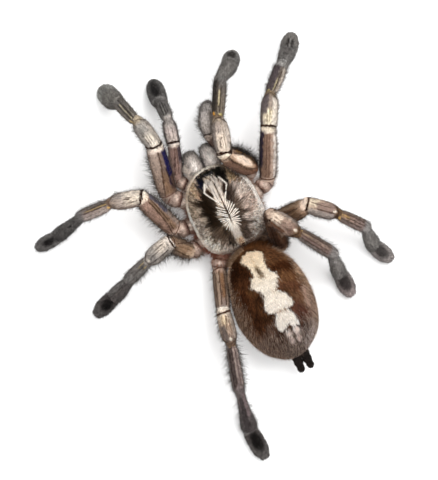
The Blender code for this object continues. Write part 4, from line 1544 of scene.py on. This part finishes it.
SHIELD_MARKS = rows("""
-9 6.4 -6.6 2.4 1.5 #faead6 .85
-6 1.8 -2.6 1 .8 #cebaaa .8
-8.6 8 -8.4 12 1.4 #cab8aa .8
-8.4 13.8 -7.4 17.4 1.5 #a89480 .85
-7.4 13.1 -5 12.3 .45 #2a1d12 .85
-6 15.6 -4.2 17.4 .9 #3c2e22 .9
-6.8 9.4 -4 9.8 .6 #261b12 .85
-7.4 16.6 -5.4 15.8 .5 #423224 .7
-4.2 9.4 -4.1 16.4 1.8 #22160b 1
-3.4 5.6 -3.6 9 1.4 #2c1f14 .95
-5.9 5.4 -5.4 7.6 1.2 #4a3a2c .85
-3.9 3.4 -3.6 6.4 1.3 #625041 .88
-1.9 2.2 -2.2 6.2 1 #3e2f24 .95
3 8.4 3.1 17.2 1.5 #3c2f26 .95
4.4 9 4.4 13 .9 #705e51 .75
3 9.8 6.6 8.2 .6 #3e2f26 .9
7.2 8.4 7.2 12 1.7 #b69e90 .8
7.9 7 5.6 2.2 1.4 #f4e0d0 .88
3 12.3 5.8 12.3 .4 #48382f .8
3 14.4 5.2 15.2 .4 #54443a .7
2.6 6.4 5.8 5 .45 #382b23 .85
2.4 2.4 2.8 6 1.4 #4a392d .93
4.4 3.2 5.4 2.4 .6 #68584c .7
5.8 17.8 7.4 17.2 .7 #80664e .8
-5.6 18.6 -4.4 18.4 .8 #a4826c .85
-5.9 19.8 -5.5 21.4 1.3 #c8a88a .95
-7.7 18.4 -7 20.2 .4 #5a4a3a .7
5.5 18.8 5.6 21.2 1.3 #c4a480 .92
4.1 20 4.3 22.4 .6 #504638 .9
-3.6 18.2 -3.7 20 .75 #423830 .9
-3 20.6 -2.7 22.2 1.4 #0f1126 1
-2 21.4 -1.8 23 .5 #121216 1
2.6 20.6 2.7 22.2 1.3 #0e0b07 1
3.5 18.4 3.2 20.6 .8 #18130e 1
-2.8 22.7 3.2 22.8 .62 #18150c 1
-2.2 13 -2.6 16.6 .9 #281c12 .95
2.2 13.2 2.6 16.4 .8 #3c2e26 .9
""")
# The rings of the shield's skin, from its middle to its rim, and how far it lies under the hair.
SHIELD_RINGS = words(".04 .1 .18 .26 .34 .42 .5 .58 .66 .74 .82 .88 .93 .97 .99 1")
SKIN_DEPTH = 0.08
SHIELD_SIDES = 72
# How far the shield's skin is darkened under its coat, as painted shade.
SHIELD_SHADE = 0.7
# The share at which the rim's lower edge lies, and up to which the shield's hair is rooted.
RIM_SHARE = 0.985
# The sternum's rings: the share of its size, and the height.
STERNUM_RINGS = ((1.0, STERNUM_TOP), (1.0, STERNUM_EDGE), (0.9, 5.1), (0.7, STERNUM_BOTTOM))
SHIELD_HAIRS = 30000
STRIPE_HAIRS = 260
RIM_HAIRS = 5200
SKIRT_HAIRS = 4200
# Locks of pale hair over the head: the x and y of root and tip, the width and how light it is.
CROWN_LOCKS = rows("""
-.85 16.4 -.9 20.2 .42 .78
-.35 14 -.3 20.6 .26 .86
.95 16.2 1 20 .34 .78
.75 13.6 .9 17.6 .22 .95
-.8 13.8 -1 17.2 .2 .95
.5 19.4 .4 21.2 .2 .8
-1.9 18.8 -1.3 20.9 .26 .85
1.8 19.2 1.1 20.8 .22 .8
-1.1 14.4 -3.2 17.9 .16 1.1
-3.2 17.8 -2 20.2 .2 1.05
1.2 14.2 3.4 17.8 .16 1.1
3.35 17.8 2.2 20.2 .22 1.05
""")
CROWN_GAPS = rows("""
-2.3 18.1 -1.65 16.3 .5 #322116 1
2.65 18 1.95 15.9 .44 #36261d 1
-.5 20.9 -.1 20.3 .13 #543e30 .9
1.2 18.6 1.3 17.8 .12 #543e30 .9
-1.2 18.4 -1.3 17.6 .12 #543e30 .9
.75 16.4 .7 15 .1 #543e30 .9
-1.2 22.5 2.6 22.5 .62 #1a1911 1
.32 19.2 .3 9.6 .13 #30241e 1
-.6 18 -.55 14.6 .09 #604e42 .9
1.75 19.6 1.6 19.2 .24 #6c5444 .8
-1.55 19.4 -1.45 19 .18 #6c5444 .8
.35 20.3 .7 20.1 .16 #604c3e .8
-.9 8.5 1 8.6 .12 #342821 .9
""")
# The burst of pale hair round the pit: for each ray where it starts on the midline, its turn
# from straight ahead in degrees, and its length.
BURST = (
    (12.6, 26, 1.4), (11.8, 38, 2.1), (10.8, 45, 2.6), (9.9, 51, 2.8), (9.2, 60, 2.8), (8.8, 73, 2.6),
    (8.5, 90, 2.2), (8.3, 112, 2.2), (8.0, 132, 2.6), (7.6, 150, 2.1), (7.2, 165, 1.6),
)
RAYS = 14
LOCK_COLOUR = srgb(250, 238, 226)
STRIPE_MARKS = rows("""
.1 6.6 .1 3.2 .95 #f0e0cc .95
.1 3.2 .15 2.4 .9 #eaccaa .8
.2 2 .3 1.2 .95 #ffcaa6 1
""")

# The colours of the hair round the rim and of the skirt under it, by degrees from straight ahead.
RIM_COLOURS = words("""
-180 #3c281e -150 #beaa9c -110 #fcf0e2 -80 #fffaf0 -50 #d2bca4 -30 #e8d6c2 -10 #fcf0e2 12 #faeede
24 #78624c 36 #483628 55 #fff4ea 115 #fff4ec 135 #beaa9c 155 #826a5a 180 #38241a
""")
SKIRT_COLOURS = words("""
-162 #5c2c1e -140 #844430 -118 #925c4a -95 #a07a6c -48 #967466 48 #785c4e 75 #ac9082 110 #a0887a
130 #543a2a 162 #342016
""")


def carapace_paint(a, b, points):
    """Pale margins, dark patches beside the head, a dark burst at the pit, and the locks."""
    x, y = points[:, 0], points[:, 1]
    share = carapace_share(x, y)
    angle = np.arctan2(x, y - FOVEA_Y)
    rays = ripple(angle * 9, share * 1.0, 1.3, 5)
    colour = plain(srgb(200, 180, 160), x)
    colour = blend(colour, srgb(204, 186, 174), smooth(0, 3, x) * 0.9)
    colour = blend(colour, srgb(216, 198, 184), smooth(7, 3, y) * smooth(0.55, 0.85, share) * 0.8)
    reach = 1 + 0.08 * rays + 0.05 * ripple(x, y, 0.4, 6)
    colour = marked(colour, x * reach, FOVEA_Y + (y - FOVEA_Y) * reach, SHIELD_MARKS)
    burst = np.hypot(x / 2.2, (y - FOVEA_Y - 0.8) / np.where(y > FOVEA_Y, 3.8, 2.2))
    colour = blend(colour, srgb(62, 48, 39), smooth(1.1, 0.5, burst + 0.15 * rays) * 0.9)
    for *ends, width, light in CROWN_LOCKS:
        colour = blend(colour, LOCK_COLOUR * 0.62 * light, 0.85 * streak(x, y, ends, width * 1.2))
    colour = marked(colour, x, y, STRIPE_MARKS)
    colour = marked(colour, x, y, CROWN_GAPS)
    dark_edge = smooth(0.95, 0.99, share) * smooth(2.5, 0.5, y)
    return blend(colour, srgb(46, 26, 18), dark_edge * 0.9)


def lock_roots(rng, ends, width, light, thick=1.0):
    """Roots spread along a lock of hair, with the heading and the lightness of its hairs."""
    start, end = np.reshape(ends, (2, 2))
    size = np.linalg.norm(end - start)
    count = int(size * (16 + 60 * width) * thick)
    along = (end - start) / size
    across = np.array((-along[1], along[0]))
    spots = start + along * rng.uniform(0, size * 0.86, (count, 1))
    spots = spots + across * rng.normal(0, width * 0.5, (count, 1))
    heading = math.atan2(along[1], along[0]) + rng.normal(0, 0.1, count)
    return spots[:, 0], spots[:, 1], heading, light * rng.uniform(0.7, 1.15, count)


def burst_roots(rng):
    """Roots for the rays of the burst, like those that lock_roots gives."""
    starts, turns, sizes = (np.array(column) for column in zip(*BURST))
    parts = []
    for side in (-1, 1):
        for k in range(RAYS):
            place = (k + rng.uniform(-0.2, 0.2)) / (RAYS - 1) * (len(BURST) - 1)
            index = np.arange(len(BURST))
            turn = math.radians(np.interp(place, index, turns) + rng.normal(0, 3))
            size = np.interp(place, index, sizes) * rng.uniform(0.85, 1.1) * (0.98 if side > 0 else 1.02)
            start = np.array((0.25 + side * 0.2, np.interp(place, index, starts)))
            end = start + size * np.array((side * math.sin(turn), math.cos(turn)))
            parts.append(lock_roots(rng, (start, end), 0.07, 1.05 if side > 0 else 1.18, 1.1))
    return parts


def grow_crown(growth, surface, rng):
    """The pale hairs on the shield: locks that fork over the head, and a burst at the pit."""
    parts = [lock_roots(rng, ends, width, light) for *ends, width, light in CROWN_LOCKS]
    count = STRIPE_HAIRS
    x = rng.uniform(-0.8, 1.0, count)
    y = rng.uniform(3.4, 7.0, count)
    heading = -math.pi / 2 + (x - 0.1) * 0.55 + rng.normal(0, 0.25, count)
    parts.append((x, y, heading, rng.uniform(0.6, 1.05, count)))
    x, y, heading, light = (np.concatenate(column) for column in zip(*parts))
    gaps = [[*gap[:5], np.zeros(3), 1.0] for gap in CROWN_GAPS]
    keep = rng.random(len(x)) < marked(np.ones((len(x), 3)), x, y, gaps)[:, 0]
    rays = [np.concatenate(column) for column in zip(*burst_roots(rng))]
    locks = (x[keep], y[keep], heading[keep], light[keep])
    x, y, heading, light = (np.concatenate(pair) for pair in zip(locks, rays))
    count = len(x)

    def pale(a, b, points):
        return plain(LOCK_COLOUR, a)

    felt(
        growth, surface, (x, y), heading, rng.uniform(0.5, 1.0, count), rng.uniform(0.25, 0.5, count),
        rng.uniform(0.12, 0.19, count), pale, light, 0.1,
    )


def grow_rim(growth, surface, rng):
    """Pale hairs that lie along the edge of the shield, and dark ones at its rear."""
    count = RIM_HAIRS
    turn = rng.uniform(-math.pi, math.pi, count)
    right, front = np.sin(turn) > 0, np.cos(turn)
    inner = np.where(right & (front < 0.75), 0.91, np.where(front > 0.6, 0.955, 0.945))
    roots = by_rim(turn, inner + (1.01 - inner) * rng.random(count))
    ahead = np.arctan2(-np.sin(turn), np.cos(turn) * 0.8)
    heading = np.where(rng.random(count) < 0.5, ahead, ahead + math.pi) + rng.normal(0, 0.2, count)
    light = ramp(np.degrees(turn), RIM_COLOURS)

    def edge(a, b, points):
        return light

    felt(
        growth, surface, roots, heading, rng.uniform(0.4, 0.9, count), rng.uniform(0.1, 0.25, count),
        rng.uniform(0.1, 0.17, count), edge, rng.uniform(0.75, 1.2, count), 0.08,
    )


def grow_skirt(growth, rng):
    """The hair under the rim, which fills the gaps between the shield and the legs."""
    count = SKIRT_HAIRS
    on_left = rng.random(count) < 0.6
    turn = np.radians(np.where(on_left, rng.uniform(-162, -48, count), rng.uniform(48, 162, count)))
    x, y = by_rim(turn, rng.uniform(0.86, 0.97, count))
    roots = np.stack([x, y, rim_height(y) - RIM_THICKNESS - rng.uniform(0.1, 1.2, count)], -1)
    lean = turn + rng.normal(0, 0.4, count)
    directions = np.stack([np.sin(lean), np.cos(lean), rng.uniform(-0.5, 0.15, count)], -1)
    tint = ramp(np.degrees(turn), SKIRT_COLOURS)
    longer = smooth(-60, -100, np.degrees(turn)) * rng.random(count)
    length = rng.uniform(0.9, 2.1, count) + 1.7 * longer
    colours = tint * rng.uniform(0.45, 1.5, (count, 1))
    bristles(growth, roots, directions, length, rng.uniform(0.1, 0.17, count), colours)


def shield_skin(growth):
    """The skin of the shield and, below it, of the sternum."""
    turn = np.arange(SHIELD_SIDES) / SHIELD_SIDES * 2 * math.pi
    rings = []
    for share in SHIELD_RINGS:
        x, y = by_rim(turn, share)
        rings.append(np.stack([x, y, carapace_top(x, y, share) - SKIN_DEPTH], -1))
    x, y = by_rim(turn, RIM_SHARE)
    rings.append(np.stack([x, y, rim_height(y) - RIM_THICKNESS], -1))
    around = superellipse(turn, STERNUM_WIDTH / 2, STERNUM_LENGTH / 2, 2)
    for share, height in STERNUM_RINGS:
        x, y = around * share * np.sin(turn), STERNUM_Y + around * share * np.cos(turn)
        rings.append(np.stack([x, y, np.full(SHIELD_SIDES, height)], -1))
    points = np.stack(rings)
    colours = carapace_paint(None, None, points.reshape(-1, 3)).reshape(points.shape)
    growth.skin(points[:, ::-1], colours[:, ::-1] * SHIELD_SHADE)


def grow_carapace(material, rng):
    growth = Growth()
    shield_skin(growth)
    surface = Surface(
        carapace_place, (-CARAPACE_WIDTH / 2, 0.0), (CARAPACE_WIDTH / 2, CARAPACE_LENGTH),
        lambda x, y: carapace_share(x, y) < RIM_SHARE, -1,
    )
    count = SHIELD_HAIRS
    x, y = surface.scatter(rng, count)
    outward = np.arctan2(y - FOVEA_Y, x)
    radius = np.hypot(x, y - FOVEA_Y)
    margin = smooth(0.5, 0.78, carapace_share(x, y))
    streaks = 0.45 * (1 - margin) * tufts(radius / 1.9, outward * 15, 9)
    specks = 0.8 * margin * tufts(radius / 0.4, outward * 40, 10)
    tone = tones(rng, count, 0.42, 0.2, 0.16, 1.6) * (1 + streaks + specks)
    heading = outward + rng.normal(0, 0.22 + 0.25 * margin)
    length = rng.uniform(0.6, 1.2, count) * (1 - 0.4 * margin)
    felt(
        growth, surface, (x, y), heading, length, rng.uniform(0.05, 0.3, count),
        rng.uniform(0.1, 0.17, count), carapace_paint, tone,
    )
    grow_crown(growth, surface, rng)
    grow_rim(growth, surface, rng)
    grow_skirt(growth, rng)
    growth.piece("carapace", "carapace", material)


# The eyes on the right, which the left ones mirror: x, y and radius.
EYES = ((0.42, 22.15, 0.36), (1.05, 22.35, 0.30), (1.1, 21.75, 0.24), (0.75, 21.45, 0.2))
EYE_SIDES = 14
# The angles of an eye's rings above its middle, and how far its middle lies over the shield.
EYE_RISES = np.linspace(-1.2, 1.5, 8)
EYE_LIFT = 0.12


def grow_eyes(material):
    """Eight small glossy eyes on their low mound."""
    growth = Growth()
    turn = np.arange(EYE_SIDES) / EYE_SIDES * 2 * math.pi
    circle = np.stack([np.cos(turn), -np.sin(turn), np.zeros(EYE_SIDES)], -1)
    for side in (-1, 1):
        for x, y, radius in EYES:
            x = x * side
            z = carapace_top(np.array(x), np.array(y), carapace_share(np.array(x), np.array(y)))
            rings = []
            for rise in EYE_RISES:
                middle = (x, y, float(z) + EYE_LIFT + radius * math.sin(rise))
                rings.append(circle * radius * math.cos(rise) + middle)
            points = np.stack(rings)
            growth.skin(points, np.broadcast_to(srgb(20, 18, 20), points.shape))
    growth.piece("eyes", None, material)


# ---------------------------------------------------------------- jaws and spinnerets

JAW_RINGS = 24
JAW_SIDES = 28
FANG_RINGS = 26
FANG_SIDES = 16
# The way back from its base over which a fang turns level.
FANG_TURN = 2.0
SPINNERET_RINGS = 26
SPINNERET_SIDES = 20
JAW_HAIRS = 5000
JAW_BRISTLES = 900
CHEEK_HAIRS = 900
SPINNERET_HAIRS = 1500


def grow_chelicera(name, side, material, rng):
    growth = Growth()
    at, *sizes = np.transpose(CHELICERA_BASE)

    def place(a, b):
        a, b = np.broadcast_arrays(a, b)
        middle, half_width, half_height = (curve_through(at, values, a) for values in sizes)
        x = side * CHELICERA_X + half_width * np.sin(b)
        return np.stack([x, a, middle + half_height * np.cos(b)], -1)

    def paint(a, b, points):
        s = np.sin(b)
        colour = plain(srgb(186, 175, 167) if side < 0 else srgb(214, 203, 195), a)
        # A pale streak along the top of the jaw: painted highlight.
        colour = blend(colour, srgb(240, 231, 223), np.exp(-((s / 0.36) ** 2)) * smooth(30, 26, a) * 0.8)
        # Darker sides: painted shade, weaker only on the left jaw's outer side.
        inner = 0.75 if side > 0 else 0.3 + 0.45 * (s > 0)
        colour = blend(colour, srgb(122, 116, 111), smooth(0.75, 0.98, np.abs(s)) * inner)
        return blend(colour, srgb(110, 106, 102), smooth(28.6, 30.2, a) * 0.8)

    surface = Surface(place, (22.3, -math.pi), (30.3, math.pi))
    surface.ends = (22.1, 30.4)
    skin_of(growth, surface, paint, JAW_RINGS, JAW_SIDES)
    count = JAW_HAIRS
    a, b = surface.scatter(rng, count)
    tone = tones(rng, count, 0.3, 0.12, 0.1) * (1 + 0.2 * tufts(a / 1.4, b * 4.5, 4))
    felt(
        growth, surface, (a, b), rng.normal(0, 0.3, count), rng.uniform(0.5, 1.2, count),
        rng.uniform(0.05, 0.35, count), rng.uniform(0.1, 0.17, count), paint, tone,
    )
    count = JAW_BRISTLES
    a, b = surface.scatter(rng, count, lambda a, b: 0.1 + 0.9 * np.sin(b) ** 2)
    base, along, around, normal, _ = surface.at(a, b)
    directions = along * 0.8 + normal * rng.uniform(0.4, 1.6, (count, 1))
    colours = srgb(84, 80, 77) * rng.uniform(0.5, 1.7, (count, 1))
    bristles(growth, base, directions, rng.uniform(0.5, 1.3, count), rng.uniform(0.06, 0.1, count), colours)
    if side < 0:
        grow_cheek(growth, surface, rng)
    growth.piece(name, name, material)


def grow_cheek(growth, surface, rng):
    """Pale hair that bulges from the outer side of the left jaw, beside the carapace."""
    count = CHEEK_HAIRS
    a = rng.uniform(22.6, 27.6, count)
    b = rng.normal(-1.35, 0.3, count)
    base, along, around, normal, _ = surface.at(a, b)
    directions = normal + along * rng.uniform(0.2, 1.0, (count, 1)) + rng.normal(0, 0.15, (count, 3))
    colours = srgb(240, 224, 210) * rng.uniform(0.5, 1.3, (count, 1))
    length = rng.uniform(0.8, 1.9, count) * smooth(28.2, 25.5, a)
    bristles(growth, base, directions, length, rng.uniform(0.09, 0.15, count), colours)


def grow_fang(name, side, material):
    """A bare fang, folded back under its jaw."""
    growth = Growth()
    steps = np.linspace(0, len(FANG) - 1, FANG_RINGS)
    y, z, radius = (curve_through(np.arange(len(FANG)), values, steps) for values in zip(*FANG))
    lean = math.pi / 2 * np.minimum(1.0, (FANG[0][0] - y) / FANG_TURN)
    turn = np.arange(FANG_SIDES) / FANG_SIDES * 2 * math.pi
    rings = []
    for k in range(1, len(steps) - 1):
        up = np.array((0, math.cos(lean[k]), math.sin(lean[k])))
        middle = np.array((side * CHELICERA_X, y[k], z[k]))
        across = np.array((1.0, 0, 0))
        ring = np.cos(turn)[:, None] * across + np.sin(turn)[:, None] * up
        rings.append(middle + ring * radius[k])
    points = np.stack(rings)
    growth.skin(points, np.broadcast_to(srgb(40, 22, 18), points.shape))
    growth.piece(name, None, material)


def grow_spinneret(name, side, material, rng):
    growth = Growth()
    rear = ABDOMEN_FRONT - ABDOMEN_LENGTH
    start = np.array((ABDOMEN_X + 0.4 + side * SPINNERET_SPACING / 2, rear + 0.45, SPINNERET_Z))
    end = start + np.array((side * 0.2, -SPINNERET_LENGTH, -SPINNERET_DROP))
    start = start + (start - end) * 0.45
    surface = spindle(start, end, SPINNERET_WIDTH * 1.2, BEADED)

    def paint(a, b, points):
        return plain(srgb(40, 34, 32), a)

    skin_of(growth, surface, paint, SPINNERET_RINGS, SPINNERET_SIDES)
    count = SPINNERET_HAIRS
    roots = surface.scatter(rng, count)
    felt(
        growth, surface, roots, rng.normal(0, 0.4, count), rng.uniform(0.4, 0.9, count),
        rng.uniform(0.1, 0.4, count), rng.uniform(0.1, 0.15, count), paint, tones(rng, count, 0.5),
    )
    growth.piece(name, name, material)


# ---------------------------------------------------------------- stage

PHOTO_HEIGHT = 480
MM_PER_PIXEL = 0.28
# The camera stands over this place of the frame, turned so that the head points as in the photo.
CAMERA_HEIGHT = 800.0
CAMERA_OVER = (1.63, 3.84)
HEAD_TURN = math.atan2(0.434, 0.901)
SKY_STRENGTH = 1.3
LAMP_PLACE = (0.26, 0.14, 0.6)
LAMP_SIZE = 0.4
LAMP_POWER = 3.6
FLOOR_SIZE = 4.0
PAPER = (0.9, 0.9, 0.9, 1)


def build_stage():
    scene = bpy.context.scene
    scene.view_settings.view_transform = "Standard"
    world = bpy.data.worlds.new("studio")
    world.use_nodes = True
    set_inputs(world.node_tree.nodes["Background"], Color=(1, 1, 1, 1), Strength=SKY_STRENGTH)
    scene.world = world

    bpy.ops.mesh.primitive_plane_add(size=FLOOR_SIZE, location=(0, 0, 0))
    floor = bpy.context.object
    floor.name = "floor"
    paper = bpy.data.materials.new("paper")
    paper.use_nodes = True
    shader = paper.node_tree.nodes["Principled BSDF"]
    set_inputs(shader, Base_Color=PAPER, Roughness=0.9, Specular_IOR_Level=0.0)
    floor.data.materials.append(paper)

    lamp = bpy.data.lights.new("softbox", "AREA")
    lamp.shape = "SQUARE"
    lamp.size = LAMP_SIZE
    lamp.energy = LAMP_POWER
    softbox = bpy.data.objects.new("softbox", lamp)
    softbox.location = LAMP_PLACE
    aim = Vector((0, 0, 0)) - softbox.location
    softbox.rotation_euler = aim.to_track_quat("-Z", "Y").to_euler()
    scene.collection.objects.link(softbox)

    lens = bpy.data.cameras.new("camera")
    lens.sensor_fit = "VERTICAL"
    lens.angle_y = 2 * math.atan(PHOTO_HEIGHT * MM_PER_PIXEL / 2 / CAMERA_HEIGHT)
    camera = bpy.data.objects.new("camera", lens)
    over = Vector((CAMERA_OVER[0], CAMERA_OVER[1], CAMERA_HEIGHT)) * MM
    camera.matrix_world = Matrix.Translation(over) @ Matrix.Rotation(-HEAD_TURN, 4, "Z")
    scene.collection.objects.link(camera)
    scene.camera = camera


FIRST_LIMB_SEED = 100
ABDOMEN_SEED = 1
CARAPACE_SEED = 2
JAW_SEED = 10
SPINNERET_SEED = 20


def main():
    build_stage()
    fur = coat_material("fur", 0.6, 0.07, 0.2)
    velvet = coat_material("velvet", 0.8, 0.03, 0.2)
    horn = coat_material("horn", 0.25, 0.4, 0.05)
    glass = coat_material("eye", 0.08, 0.5, 0.0, 0.0)
    for seed, (name, (hip, *segments)) in enumerate(LIMBS.items(), FIRST_LIMB_SEED):
        slot = "leg" if name.startswith("leg") else "palp"
        grow_limb(name, hip, segments, slot, fur, np.random.default_rng(seed))
    grow_abdomen(velvet, np.random.default_rng(ABDOMEN_SEED))
    grow_carapace(fur, np.random.default_rng(CARAPACE_SEED))
    grow_eyes(glass)
    for end, side in (("left", -1), ("right", 1)):
        grow_chelicera("chelicera_" + end, side, fur, np.random.default_rng(JAW_SEED + side))
        grow_fang("fang_" + end, side, horn)
        grow_spinneret("spinneret_" + end, side, velvet, np.random.default_rng(SPINNERET_SEED + side))


main()
